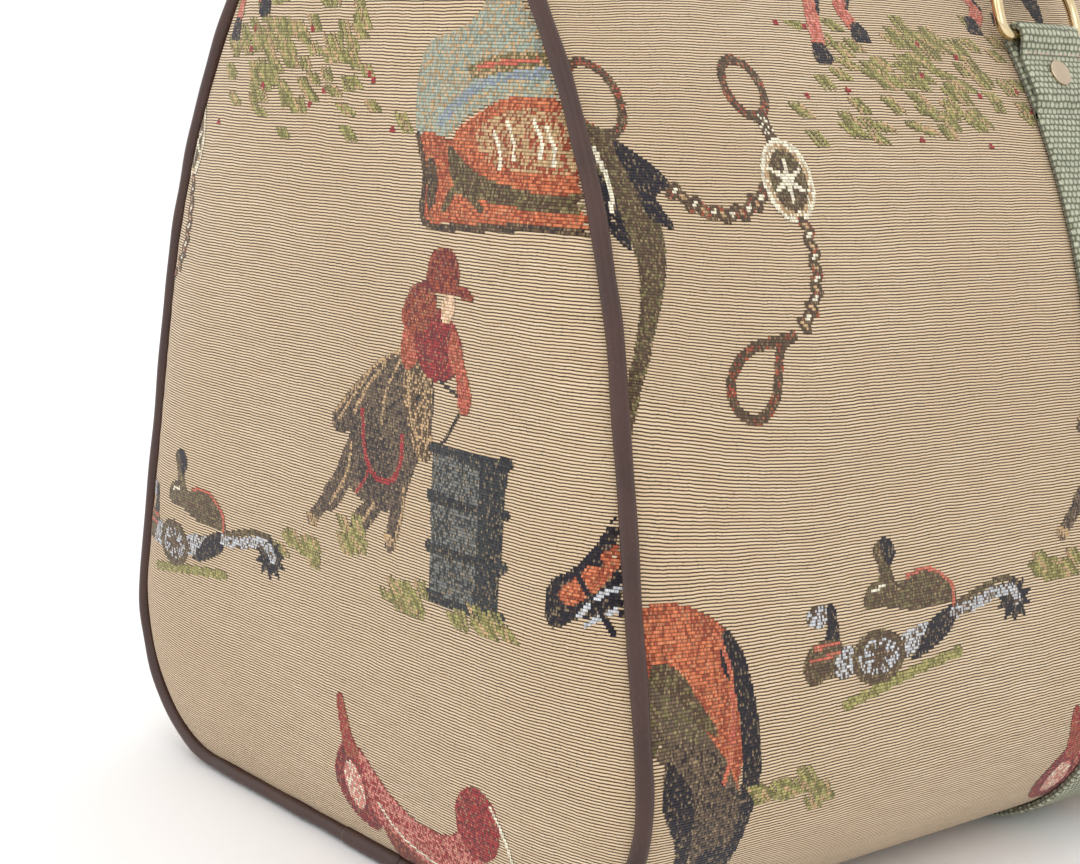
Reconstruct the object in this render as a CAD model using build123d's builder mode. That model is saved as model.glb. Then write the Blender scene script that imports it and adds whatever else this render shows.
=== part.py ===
"""Carpet bag: a tapestry travel holdall with piped ends, a zipped crown, two webbing
straps that run right round the body, four D-rings and two webbing handles.

Frame: origin on the floor under the bag's centre, +Z up, +X along the bag, -Y the front.
Millimetres throughout.
"""

import os
from math import asin, atan2, cos, degrees, radians, sin, sqrt

from build123d import *

os.makedirs("parts", exist_ok=True)

# --- body -------------------------------------------------------------------------------
bag_length = 560.0  # between the two piped end seams
bag_depth = 250.0  # front to back at an end seam
bag_height = 288.0  # base to crown
belly_swell = 6.0  # how far the middle of the body stands out past an end seam
taper_run = 70.0  # length over which an end swells out to the middle
end_corner_radius = 48.0
belly_corner_radius = 50.0
side_lean = 9.5  # degrees that the straight part of a side leans inward
shoulder_radius = 240.0
crown_radius = 74.0
panel_thickness = 2.0  # tapestry with its backing
lining_thickness = 0.8
end_dome = 9.5  # how far an end panel bulges
end_dome_steps = ((0.0, 0.0), (17.0, 0.62), (38.0, 1.0))  # inset from the rim, share of the bulge
end_rim_inset = 3.0  # from the end seam to the inner edge of an end panel's rim
end_rim_width = 2.0
end_lining_inset = 6.0  # from the end seam to the end of the lining
lining_drop = 3.6  # from the outside of a panel to the outside of the lining
lining_setback = 3.0  # from the panels' edges at the zip to the lining's
bottom_seam_gap = 0.3
cut_margin = 2.0  # that a cutter runs on past what it cuts

# --- piping -----------------------------------------------------------------------------
piping_radius = 2.3
piping_inset = 0.6  # cord centre inside the outside face of the panels
join_length = 26.0  # the sleeve where the two ends of a piping cord meet
join_wall = 0.4
join_shift = -12.0  # sleeve centre, along the depth of the bag

# --- clearances -------------------------------------------------------------------------
layer_gap = 0.3
running_gap = 0.3
pin_gap = 0.1

# --- zip --------------------------------------------------------------------------------
zip_opening = 18.0  # between the folded edges of the two panels
tape_width = 13.0
tape_thickness = 0.8
tape_length = 544.0
teeth_length = 520.0
teeth_width = 2.8
teeth_height = 2.8
teeth_corner = 0.6
tape_clench = 1.0  # how far the teeth reach over the edge of the tape
teeth_gap = 1.2  # between the two rows, where the slider's neck runs
stop_length = 4.0
stop_height = 1.3
stop_corner = 0.4
stop_overhang = 1.0  # past the outer edge of the teeth
slider_length = 12.0
slider_plate = 1.1
slider_lip = 1.2
slider_neck = 0.7
slider_neck_length = 3.0
slider_fillet = 0.3
slider_end_margin = 10.0  # from the end of the teeth to the middle of the parked slider
bridge_width = 2.0
bridge_length = 7.0
bridge_height = 3.4
bridge_wall = 1.1
pull_length = 34.0
pull_width = 7.5
pull_thickness = 1.4
pull_bar_radius = 0.7
pull_arm_width = 1.2
pull_corner = 2.2
pull_eye_length = 6.5
pull_eye_width = 3.0
pull_eye_inset = 6.0  # from the end of the pull to the middle of its eye

# --- straps, rings, rivets --------------------------------------------------------------
webbing_width = 28.0
webbing_thickness = 2.2
strap_spacing = 180.0  # centre to centre
ring_bar_height = 239.0  # where on the side of the bag the D-rings are held
fold_length = 22.0  # of the doubled strap end below a ring
fold_blend = 8.5  # over which the strap end opens round the ring's bar
strap_overlap = 4.0  # from the ring's bar down to where strap and loop are one
ring_wire_radius = 1.7
ring_inner_width = 33.4
ring_corner_radius = 4.2
ring_leg = 7.0
rivet_cap_radius = 4.2
rivet_cap_height = 1.1
rivet_cap_fillet = 0.4
rivet_post_radius = 1.5
rivet_drop = 12.5  # below the ring's bar, along the strap
rivet_washer_thickness = 0.8

# --- handles ----------------------------------------------------------------------------
grip_spacing = 39.2  # between the middles of the two grips, over the zip
handle_width = 15.0  # the webbing folded in half along its length
handle_thickness = 4.0
handle_leg_top = 104.0  # where a leg ends, above the ring's bar
handle_shoulder_radius = 62.0
handle_shoulder_turn = 62.0  # degrees
handle_double = 34.0  # of the doubled handle end above a ring
handle_eye_slack = 2.3  # room for the curve of the ring inside the handle's end loop

# --- base board -------------------------------------------------------------------------
board_length = 480.0
board_side_gap = 45.0  # from each long side of the board to the outside of the bag
board_thickness = 3.0
board_corner = 20.0

half_length = bag_length / 2
floor_gap = webbing_thickness + layer_gap  # the straps lift the body off the floor
crown_top = floor_gap + bag_height


class Section:
    """A cross-section of the body: flat base, round corners, leaning sides, round crown.

    Each side is straight above its corner and then bends over a shoulder arc, which is
    tangent both to the straight side and to the crown arc.
    """

    def __init__(self, half_depth, corner_radius):
        self.corner_radius = corner_radius
        self.corner = Vector(half_depth - corner_radius, floor_gap + corner_radius)
        self.crown = Vector(0, crown_top - crown_radius)
        outward = Vector(cos(radians(side_lean)), sin(radians(side_lean)))
        upward = Vector(-outward.Y, outward.X)
        start = self.corner + outward * (corner_radius - shoulder_radius)
        apart = start - self.crown
        along = apart.dot(upward)
        reach = shoulder_radius - crown_radius
        self.straight = -along - sqrt(along**2 - apart.length**2 + reach**2)
        self.shoulder = start + upward * self.straight
        rise = self.crown - self.shoulder
        self.high_angle = degrees(atan2(rise.Y, rise.X))

    def face(self, x, grow):
        """The closed outline at x along the bag, grown outward by grow."""
        corner_r = self.corner_radius + grow
        shoulder_r = shoulder_radius + grow
        crown_r = crown_radius + grow
        base = floor_gap - grow
        lean = side_lean
        high = self.high_angle
        with BuildSketch(Plane.YZ.offset(x)) as sketch:
            with BuildLine():
                Line((-self.corner.X, base), (self.corner.X, base))
                corner = CenterArc(self.corner, corner_r, -90, 90 + lean)
                shoulder = CenterArc(self.shoulder, shoulder_r, lean, high - lean)
                Line(corner @ 1, shoulder @ 0)
                CenterArc(self.crown, crown_r, high, 180 - 2 * high)
                far = (-self.shoulder.X, self.shoulder.Y)
                far_shoulder = CenterArc(far, shoulder_r, 180 - high, high - lean)
                far = (-self.corner.X, self.corner.Y)
                far_corner = CenterArc(far, corner_r, 180 - lean, 90 + lean)
                Line(far_shoulder @ 1, far_corner @ 0)
            make_face()
        return sketch.sketch

    def side_point(self, angle, grow):
        """A point over the back shoulder, as (y, z), at an angle about the arc's centre."""
        reach = shoulder_radius + grow
        return self.shoulder + Vector(cos(radians(angle)), sin(radians(angle))) * reach

    def angle_at(self, height):
        return degrees(asin((height - self.shoulder.Y) / shoulder_radius))

    def turn(self, run):
        """The angle that a run along the shoulder takes up, in degrees."""
        return degrees(run / shoulder_radius)


end_section = Section(bag_depth / 2, end_corner_radius)
belly_section = Section(bag_depth / 2 + belly_swell, belly_corner_radius)


def body_solid(length, grow):
    """The whole body as one solid: two tapered ends and a straight middle."""
    end = length / 2
    middle = half_length - taper_run
    sections = [
        end_section.face(-end, grow),
        belly_section.face(-middle, grow),
        belly_section.face(middle, grow),
        end_section.face(end, grow),
    ]
    with BuildPart() as solid:
        loft(sections=sections, ruled=True)
    return solid.part


def save(part, name):
    part.label = name
    export_step(part, f"parts/{name}.step")


# --- places worked out from the driving sizes -------------------------------------------
eye_inner = ring_wire_radius + running_gap
eye_outer = eye_inner + webbing_thickness
eye_grow = layer_gap + eye_outer  # the ring's bar, out from the side of the bag
ring_angle = belly_section.angle_at(ring_bar_height)
bar_point = belly_section.side_point(ring_angle, eye_grow)
rivet_angle = ring_angle - belly_section.turn(rivet_drop)
strap_places = {"left": -strap_spacing / 2, "right": strap_spacing / 2}
side_signs = {"front": -1, "back": 1}

# --- outline of a handle: upright legs, round shoulders, a flatter arc for the grip ------
handle_eye_inner = ring_wire_radius + handle_eye_slack
handle_eye_outer = handle_eye_inner + handle_thickness
shoulder_across = handle_shoulder_radius * (1 - cos(radians(handle_shoulder_turn)))
shoulder_up = handle_shoulder_radius * sin(radians(handle_shoulder_turn))
grip_angle = 90 - handle_shoulder_turn  # half of the grip's own arc, in degrees
grip_half = strap_spacing / 2 - shoulder_across
grip_radius = grip_half / sin(radians(grip_angle))
grip_drop = grip_radius * cos(radians(grip_angle))
grip_centre_up = handle_leg_top + shoulder_up - grip_drop
grip_top = grip_centre_up + grip_radius
handle_lean = degrees(asin((bar_point.X - grip_spacing / 2) / grip_top))


def rivet_plane(side, x, grow):
    """A plane on a rivet's axis, facing out of the bag."""
    sign = side_signs[side]
    point = belly_section.side_point(rivet_angle, grow)
    out = Vector(0, sign * cos(radians(rivet_angle)), sin(radians(rivet_angle)))
    return Plane(origin=(x, sign * point.X, point.Y), x_dir=(1, 0, 0), z_dir=out)


def rivet_hole(side, x):
    """The hole that a rivet's post needs through strap and panel."""
    start = -panel_thickness - cut_margin
    end = layer_gap + 2 * webbing_thickness + cut_margin
    with BuildPart() as hole:
        with BuildSketch(rivet_plane(side, x, start)):
            Circle(rivet_post_radius + pin_gap)
        extrude(amount=end - start)
    return hole.part


def handle_plane(side, x=0.0):
    """The leaning plane of a handle and its rings: x along the bag, y up the handle."""
    sign = side_signs[side]
    normal = (0, sign * cos(radians(handle_lean)), sin(radians(handle_lean)))
    origin = (x, sign * bar_point.X, bar_point.Y)
    return Plane(origin=origin, x_dir=(-sign, 0, 0), z_dir=normal)


# --- tapestry panels --------------------------------------------------------------------
seam_gap = piping_radius + pin_gap / 2 + join_wall + layer_gap  # room for cord and sleeve
panel_length = bag_length - 2 * seam_gap


def body_panel(side):
    """Front or back panel, from the bottom seam up to the zip."""
    sign = side_signs[side]
    reach = bag_depth + 4 * belly_swell
    with BuildPart() as panel:
        add(body_solid(panel_length, 0))
        add(body_solid(panel_length + cut_margin, -panel_thickness), mode=Mode.SUBTRACT)
        with BuildSketch(Plane.YZ.offset(-bag_length)):
            with Locations((sign * (bottom_seam_gap + reach) / 2, crown_top / 2)):
                Rectangle(reach, 2 * crown_top)
        extrude(amount=2 * bag_length, mode=Mode.INTERSECT)
        with BuildSketch(Plane.XY.offset(crown_top - crown_radius)):
            Rectangle(2 * bag_length, zip_opening)
        extrude(amount=2 * crown_radius, mode=Mode.SUBTRACT)
        for x in strap_places.values():
            add(rivet_hole(side, x), mode=Mode.SUBTRACT)
    return panel.part


for side in side_signs:
    save(body_panel(side), f"{side}_panel")


def domed_sections(sign, rim, shift):
    """Sections of an end panel's bulge, from its rim outward."""
    inner_x = half_length - end_rim_inset - shift
    outer_x = inner_x + end_rim_width
    return [end_section.face(sign * inner_x, rim)] + [
        end_section.face(sign * (outer_x + end_dome * share), rim - inset)
        for inset, share in end_dome_steps
    ]


def end_panel(sign):
    """An end panel: a thin sheet that bulges outward inside its piping."""
    rim = -(piping_inset + seam_gap)
    with BuildPart() as panel:
        loft(sections=domed_sections(sign, rim, 0), ruled=True)
        inner = domed_sections(sign, rim - panel_thickness, panel_thickness)
        loft(sections=inner, ruled=True, mode=Mode.SUBTRACT)
    return panel.part


ends = {"left": -1, "right": 1}
for end, sign in ends.items():
    save(end_panel(sign), f"{end}_end_panel")


# --- piping -----------------------------------------------------------------------------
def piping(sign):
    """A closed round cord along an end seam."""
    seam = end_section.face(sign * half_length, -piping_inset).face().outer_wire()
    with BuildPart() as cord:
        with BuildSketch(Plane(seam ^ 0)):
            Circle(piping_radius)
        sweep(path=seam)
    return cord.part


def piping_join(sign):
    """The sleeve over the place where the two ends of a cord meet, under the bag."""
    start = (sign * half_length, join_shift + join_length / 2, floor_gap + piping_inset)
    with BuildPart() as sleeve:
        with BuildSketch(Plane(start, x_dir=(1, 0, 0), z_dir=(0, -1, 0))):
            Circle(piping_radius + pin_gap / 2 + join_wall)
            Circle(piping_radius + pin_gap / 2, mode=Mode.SUBTRACT)
        extrude(amount=join_length)
    return sleeve.part


for end, sign in ends.items():
    save(piping(sign), f"{end}_piping")
    save(piping_join(sign), f"{end}_piping_join")

# --- lining and base board --------------------------------------------------------------
lining_length = bag_length - 2 * end_lining_inset
with BuildPart() as lining:
    add(body_solid(lining_length, -lining_drop))
    inner_grow = -lining_drop - lining_thickness
    add(body_solid(lining_length + cut_margin, inner_grow), mode=Mode.SUBTRACT)
    with BuildSketch(Plane.XY.offset(crown_top - crown_radius)):
        Rectangle(2 * bag_length, zip_opening + 2 * lining_setback)
    extrude(amount=2 * crown_radius, mode=Mode.SUBTRACT)
save(lining.part, "body_lining")

for end, sign in ends.items():
    with BuildPart() as end_lining:
        start = sign * (lining_length / 2 + layer_gap)
        sheet = end_section.face(start, -lining_drop - layer_gap)
        extrude(sheet, amount=lining_thickness, dir=(sign, 0, 0))
    save(end_lining.part, f"{end}_end_lining")

with BuildPart() as board:
    board_base = floor_gap + lining_drop + lining_thickness + layer_gap
    with BuildSketch(Plane.XY.offset(board_base)):
        RectangleRounded(board_length, bag_depth - 2 * board_side_gap, board_corner)
    extrude(amount=board_thickness)
save(board.part, "base_board")

# --- zip --------------------------------------------------------------------------------
tape_top = crown_top - panel_thickness - layer_gap
tape_middle = tape_top - tape_thickness / 2
teeth_edge = teeth_gap / 2 + teeth_width
tape_inner = teeth_edge - tape_clench
for side, sign in side_signs.items():
    with BuildPart() as tape:
        crown_r = tape_top - crown_top + crown_radius
        with BuildSketch(Plane.YZ.offset(-tape_length / 2)):
            with Locations((0, crown_top - crown_radius)):
                Circle(crown_r)
                Circle(crown_r - tape_thickness, mode=Mode.SUBTRACT)
            with Locations((sign * (tape_inner + tape_width / 2), crown_top)):
                Rectangle(tape_width, crown_radius, mode=Mode.INTERSECT)
        extrude(amount=tape_length)
        with BuildSketch(Plane.YZ.offset(-teeth_length / 2 - pin_gap)):
            with Locations((sign * (teeth_edge - tape_clench / 2), tape_middle)):
                Rectangle(tape_clench + 2 * pin_gap, teeth_height)
        extrude(amount=teeth_length + 2 * pin_gap, mode=Mode.SUBTRACT)
    save(tape.part, f"{side}_zip_tape")

    with BuildPart() as teeth:
        with BuildSketch(Plane.YZ.offset(-teeth_length / 2)):
            with Locations((sign * (teeth_gap + teeth_width) / 2, tape_middle)):
                RectangleRounded(teeth_width, teeth_height, teeth_corner)
        extrude(amount=teeth_length)
    save(teeth.part, f"{side}_zip_teeth")

for end, sign in ends.items():
    with BuildPart() as stop:
        start = sign * (teeth_length / 2 + pin_gap)
        with BuildSketch(Plane.YZ.offset(start)):
            with Locations((0, tape_middle + tape_thickness / 2 + pin_gap + stop_height / 2)):
                RectangleRounded(2 * (teeth_edge + stop_overhang), stop_height, stop_corner)
        extrude(amount=sign * stop_length)
    save(stop.part, f"{end}_zip_stop")

slider_x = teeth_length / 2 - slider_end_margin
slider_room = teeth_height / 2 + running_gap
slider_half = teeth_edge + running_gap + slider_lip
lip_reach = tape_thickness / 2 + running_gap + 2 * pin_gap  # the tape bends down here
slider_top = tape_middle + slider_room + slider_plate
bridge_hole = bridge_height - bridge_wall
with BuildPart() as slider:
    for up in (1, -1):
        with BuildSketch(Plane.YZ.offset(slider_x - slider_length / 2)):
            with Locations((0, tape_middle + up * (slider_room + slider_plate / 2))):
                Rectangle(2 * slider_half, slider_plate)
            lip_height = slider_room + slider_plate - lip_reach
            for across in (1, -1):
                lip_y = across * (slider_half - slider_lip / 2)
                with Locations((lip_y, tape_middle + up * (lip_reach + lip_height / 2))):
                    Rectangle(slider_lip, lip_height)
        extrude(amount=slider_length)
    with BuildSketch(Plane.XY.offset(tape_middle)):
        with Locations((slider_x + (slider_length - slider_neck_length) / 2, 0)):
            Rectangle(slider_neck_length, slider_neck)
    extrude(amount=slider_room + slider_plate / 2, both=True)
    fillet(slider.edges().filter_by(Axis.Z).group_by(SortBy.LENGTH)[-1], slider_fillet)
    with BuildSketch(Plane.XZ.offset(-bridge_width / 2)):
        with Locations((slider_x, slider_top)):
            SlotOverall(bridge_length, 2 * bridge_height)
            SlotOverall(bridge_length - 2 * bridge_wall, 2 * bridge_hole, mode=Mode.SUBTRACT)
        with Locations((slider_x, slider_top - bridge_height - slider_plate / 2)):
            Rectangle(bridge_length, 2 * bridge_height, mode=Mode.SUBTRACT)
    extrude(amount=bridge_width)
save(slider.part, "zip_slider")

# The pull's cross bar lies in the bridge; two arms join it to the tab.
hinge_z = slider_top + bridge_hole - running_gap - pull_bar_radius
arm_gap = bridge_width / 2 + running_gap
arm_centre = arm_gap + pull_arm_width / 2
tab_reach = bridge_length / 2 + 2 * running_gap
with BuildPart() as pull:
    with BuildSketch(Plane.XZ.offset(-arm_gap - pull_arm_width)):
        with Locations((slider_x, hinge_z)):
            Circle(pull_bar_radius)
    extrude(amount=2 * (arm_gap + pull_arm_width))
    with BuildSketch(Plane.XY.offset(hinge_z - pull_thickness / 2)):
        with Locations((slider_x - (pull_length + tab_reach) / 2, 0)):
            RectangleRounded(pull_length - tab_reach, pull_width, pull_corner)
        for across in (1, -1):
            with Locations((slider_x - tab_reach / 2, across * arm_centre)):
                Rectangle(tab_reach + pull_corner, pull_arm_width)
        with Locations((slider_x - pull_length + pull_eye_inset, 0)):
            SlotOverall(pull_eye_length, pull_eye_width, mode=Mode.SUBTRACT)
    extrude(amount=pull_thickness)
save(pull.part, "zip_pull")


# --- straps -----------------------------------------------------------------------------
def side_band(inner, outer, low, high):
    """A face between two distances off the back side arc, from one angle to another."""
    with BuildSketch(mode=Mode.PRIVATE) as band:
        with BuildLine():
            CenterArc(belly_section.shoulder, shoulder_radius + outer, low, high - low)
            CenterArc(belly_section.shoulder, shoulder_radius + inner, low, high - low)
            for angle in (low, high):
                start = belly_section.side_point(angle, inner)
                Line(start, belly_section.side_point(angle, outer))
        make_face()
    return band.sketch


def strap_loop():
    """The strap end, opened round the ring's bar."""
    blend = ring_angle - belly_section.turn(fold_blend)
    near = belly_section.side_point(blend, layer_gap)
    far = belly_section.side_point(blend, layer_gap + 2 * webbing_thickness)
    with BuildSketch(mode=Mode.PRIVATE) as loop:
        with BuildLine():
            CenterArc(bar_point, eye_outer, 0, 360)
            Line(near, far)
        make_hull()
    return loop.sketch


below_ring = ring_angle - belly_section.turn(strap_overlap)
fold_end = ring_angle - belly_section.turn(fold_length)


def strap(x):
    """One length of webbing: front ring, down, under the bag, up, back ring."""
    start = x - webbing_width / 2
    outer = belly_section.face(start, layer_gap + webbing_thickness)
    inner = belly_section.face(start, layer_gap)
    with BuildPart() as webbing:
        extrude(outer, amount=webbing_width, dir=(1, 0, 0))
        extrude(inner, amount=webbing_width, dir=(1, 0, 0), mode=Mode.SUBTRACT)
        # the webbing goes no higher than the D-rings: it ends square to the bag's sides
        cut = belly_section.side_point(below_ring, -webbing_width)
        over = belly_section.side_point(below_ring, webbing_width)
        clear = over.Y + bag_height
        with BuildSketch(Plane.YZ.offset(start)):
            with BuildLine():
                corners = [(cut.X, cut.Y), (over.X, over.Y), (over.X, clear)]
                far_corners = [(-y, z) for y, z in reversed(corners)]
                Polyline(*corners, *far_corners, close=True)
            make_face()
        extrude(amount=webbing_width, mode=Mode.SUBTRACT)
        with BuildSketch(Plane.YZ.offset(start)):
            thickness = layer_gap + 2 * webbing_thickness
            double = side_band(layer_gap, thickness, fold_end, below_ring)
            for piece in (double, strap_loop()):
                add(piece)
                add(mirror(piece, about=Plane.YZ, mode=Mode.PRIVATE))
            for sign in (1, -1):
                with Locations((sign * bar_point.X, bar_point.Y)):
                    Circle(eye_inner, mode=Mode.SUBTRACT)
        extrude(amount=webbing_width)
        for side in side_signs:
            add(rivet_hole(side, x), mode=Mode.SUBTRACT)
    return webbing.part


for place, x in strap_places.items():
    save(strap(x), f"{place}_strap")


# --- D-rings ----------------------------------------------------------------------------
ring_half = ring_inner_width / 2 + ring_wire_radius
ring_top = ring_leg + ring_half


def d_ring(side, x):
    """A wire D: its straight bar lies in the strap's loop and its round side is up."""
    plane = handle_plane(side, x)
    corner = ring_corner_radius
    with BuildPart() as ring:
        with BuildLine(plane) as path:
            Line((0, 0), (ring_half - corner, 0))
            CenterArc((ring_half - corner, corner), corner, -90, 90)
            Line((ring_half, corner), (ring_half, ring_leg))
            CenterArc((0, ring_leg), ring_half, 0, 180)
            Line((-ring_half, ring_leg), (-ring_half, corner))
            CenterArc((-ring_half + corner, corner), corner, 180, 90)
            Line((-ring_half + corner, 0), (0, 0))
        with BuildSketch(Plane(origin=plane.origin, z_dir=plane.x_dir)):
            Circle(ring_wire_radius)
        sweep(path=path.wire())
    return ring.part


for side in side_signs:
    for place, x in strap_places.items():
        save(d_ring(side, x), f"{side}_{place}_ring")


# --- rivets -----------------------------------------------------------------------------
def rivet(side, x):
    """A flat-capped rivet: cap over the strap, post through strap and panel."""
    cap_grow = layer_gap + 2 * webbing_thickness + pin_gap / 2
    post_length = cap_grow + panel_thickness + pin_gap + rivet_washer_thickness
    with BuildPart() as fastener:
        with BuildSketch(rivet_plane(side, x, cap_grow)):
            Circle(rivet_cap_radius)
        extrude(amount=rivet_cap_height)
        fillet(fastener.edges().filter_by(GeomType.CIRCLE), rivet_cap_fillet)
        with BuildSketch(rivet_plane(side, x, cap_grow)):
            Circle(rivet_post_radius)
        extrude(amount=-post_length)
    return fastener.part


def rivet_washer(side, x):
    """The plate that a rivet's post is set into, between panel and lining."""
    grow = -panel_thickness - pin_gap - rivet_washer_thickness
    with BuildPart() as washer:
        with BuildSketch(rivet_plane(side, x, grow)):
            Circle(rivet_cap_radius)
            Circle(rivet_post_radius + pin_gap / 2, mode=Mode.SUBTRACT)
        extrude(amount=rivet_washer_thickness)
    return washer.part


for side in side_signs:
    for place, x in strap_places.items():
        save(rivet(side, x), f"{side}_{place}_rivet")
        save(rivet_washer(side, x), f"{side}_{place}_rivet_washer")


# --- handles ----------------------------------------------------------------------------
def handle(side):
    """Webbing folded in half along its length, its ends looped through two D-rings."""
    plane = handle_plane(side)
    foot = ring_top + handle_eye_outer
    half_span = strap_spacing / 2
    turn = handle_shoulder_turn
    shoulder_x = half_span - handle_shoulder_radius
    with BuildPart() as webbing:
        with BuildLine(plane) as path:
            Line((-half_span, foot), (-half_span, handle_leg_top))
            CenterArc((-shoulder_x, handle_leg_top), handle_shoulder_radius, 180, -turn)
            CenterArc((0, grip_centre_up), grip_radius, 90 + grip_angle, -2 * grip_angle)
            CenterArc((shoulder_x, handle_leg_top), handle_shoulder_radius, turn, -turn)
            Line((half_span, handle_leg_top), (half_span, foot))
        start = plane.from_local_coords(Vector(-half_span, foot, 0))
        up = plane.from_local_coords(Vector(-half_span, foot + 1, 0)) - start
        with BuildSketch(Plane(origin=start, x_dir=plane.x_dir, z_dir=up)):
            Rectangle(handle_width, handle_thickness)
        sweep(path=path.wire())
        for x in strap_places.values():
            origin = plane.from_local_coords(Vector(x - handle_width / 2, 0, 0))
            with BuildSketch(Plane(origin=origin, x_dir=plane.z_dir, z_dir=plane.x_dir)):
                with BuildLine():
                    CenterArc((0, -ring_top), handle_eye_outer, 0, 360)
                    reach = -foot - handle_double
                    Line((-handle_thickness, reach), (handle_thickness, reach))
                make_hull()
                with Locations((0, -ring_top)):
                    Circle(handle_eye_inner, mode=Mode.SUBTRACT)
            extrude(amount=handle_width)
    return webbing.part


for side in side_signs:
    save(handle(side), f"{side}_handle")
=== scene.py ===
"""Looks of the carpet bag: tapestry, piping, webbing, metal, light and camera."""

from math import asin, atan2, cos, pi, radians, sin, sqrt

import bpy
import numpy as np
from mathutils import Matrix, Vector


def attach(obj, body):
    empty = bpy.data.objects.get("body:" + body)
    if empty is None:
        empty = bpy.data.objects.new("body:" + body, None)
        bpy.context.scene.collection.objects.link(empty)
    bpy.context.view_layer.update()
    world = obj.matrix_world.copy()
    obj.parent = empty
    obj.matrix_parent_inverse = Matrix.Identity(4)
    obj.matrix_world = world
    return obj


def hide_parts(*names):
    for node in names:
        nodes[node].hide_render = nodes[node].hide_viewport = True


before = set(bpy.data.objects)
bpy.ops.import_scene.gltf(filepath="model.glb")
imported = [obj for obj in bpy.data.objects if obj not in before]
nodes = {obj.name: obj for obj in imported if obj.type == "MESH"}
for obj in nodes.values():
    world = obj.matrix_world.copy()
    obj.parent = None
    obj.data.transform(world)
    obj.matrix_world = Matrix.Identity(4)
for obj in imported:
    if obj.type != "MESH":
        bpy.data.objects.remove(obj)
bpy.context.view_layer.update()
MM = 0.001

# --- sizes, in metres, the same as the CAD part's ---------------------------------------
half_length = 0.280
floor_gap = 0.0025
crown_top = 0.2905
crown_radius = 0.074
shoulder_radius = 0.240
side_lean = radians(9.5)
taper_run = 0.070
end_half_depth, end_corner = 0.125, 0.048
belly_half_depth, belly_corner = 0.131, 0.050
zip_edge = 0.009  # from the middle of the zip to a panel's hem
rib_pitch = 0.00083
piping_radius = 0.0023
piping_inset = 0.0006
strap_middles = {"left": -0.090, "right": 0.090}
webbing_width = 0.028
webbing_thickness = 0.0022
ring_bar_height = 0.239
ring_bar_out = 0.0045  # the ring's bar, out from the side of the bag
ring_top = 0.0254  # the ring's round top, above its bar
fold_length = 0.022
fold_blend = 0.0085
stitch_drop = 0.0063  # from a ring's bar to the stitches across the fold
grip_half_gap = 0.0196
handle_width = 0.015
handle_thickness = 0.004
handle_leg_top = 0.104
handle_shoulder = 0.062
handle_turn = radians(62)
handle_double = 0.034
handle_eye = 0.006  # from a ring's wire to the middle of the webbing round it
tape_top = 0.2882
teeth_half_run = 0.260

rng = np.random.default_rng(7)


def unit(vectors):
    return vectors / np.linalg.norm(vectors, axis=-1, keepdims=True)


def distances(path):
    """How far along a path each of its points is."""
    return np.concatenate([[0], np.cumsum(np.linalg.norm(np.diff(path, axis=0), axis=1))])


def ease(low, high, value):
    t = np.clip((value - low) / (high - low), 0, 1)
    return t * t * (3 - 2 * t)


# --- outline of the bag -----------------------------------------------------------------
def arc(centre, radius, low, high, count):
    angles = np.linspace(low, high, count)
    out = np.stack([np.cos(angles), np.sin(angles)], -1)
    return centre + radius * out, out


def line(start, end, normal, count):
    steps = np.linspace(0, 1, count)[:, None]
    return start + steps * (end - start), np.tile(normal, (count, 1))


def outline(half_depth, corner_radius):
    """The back half of a cross-section, from under the base to the top of the crown."""
    out = np.array([cos(side_lean), sin(side_lean)])
    up = np.array([-out[1], out[0]])
    corner = np.array([half_depth - corner_radius, floor_gap + corner_radius])
    crown = np.array([0.0, crown_top - crown_radius])
    apart = corner + out * (corner_radius - shoulder_radius) - crown
    along = apart @ up
    reach = shoulder_radius - crown_radius
    straight = -along - sqrt(along**2 - apart @ apart + reach**2)
    shoulder = crown + apart + up * straight
    high = atan2(crown[1] - shoulder[1], crown[0] - shoulder[0])
    side = corner + out * corner_radius
    parts = [
        line(np.array([0, floor_gap]), np.array([corner[0], floor_gap]), (0, -1), 50),
        arc(corner, corner_radius, -pi / 2, side_lean, 60),
        line(side, side + up * straight, out, 40),
        arc(shoulder, shoulder_radius, side_lean, high, 80),
        arc(crown, crown_radius, high, pi / 2, 90),
    ]
    points = np.concatenate([part[0][:-1] for part in parts] + [parts[-1][0][-1:]])
    normals = np.concatenate([part[1][:-1] for part in parts] + [parts[-1][1][-1:]])
    return points, normals


end_points, end_normals = outline(end_half_depth, end_corner)
belly_points, belly_normals = outline(belly_half_depth, belly_corner)
run = distances(belly_points)  # distance up the cloth from the base seam
widest = int(np.argmax(belly_points[:, 0]))


def run_at(height):
    """Distance up the cloth at which the side of the bag reaches a height."""
    return float(np.interp(height, belly_points[widest:, 1], run[widest:]))


hem_run = float(np.interp(-zip_edge, -belly_points[widest:, 0], run[widest:]))


def lookup(v, table):
    return np.stack([np.interp(v, run, table[:, 0]), np.interp(v, run, table[:, 1])], -1)


waves = [
    (rng.uniform(6, 26), rng.uniform(-22, 22), rng.uniform(0, 2 * pi), rng.uniform(0.5, 1))
    for _ in range(9)
]


def ripple(a, b, seed):
    """A gentle unevenness, about -1 to 1, from a few slow waves."""
    total = 0
    for i, (fa, fb, phase, size) in enumerate(waves):
        total = total + size * np.sin(fa * a + fb * b + phase + seed * (i + 1))
    return total / 3.2


def off_straps(x):
    """0 under the straps, where the cloth is held flat, and 1 away from them."""
    gap = np.minimum(abs(x - strap_middles["left"]), abs(x - strap_middles["right"]))
    return ease(0.016, 0.045, gap)


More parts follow.
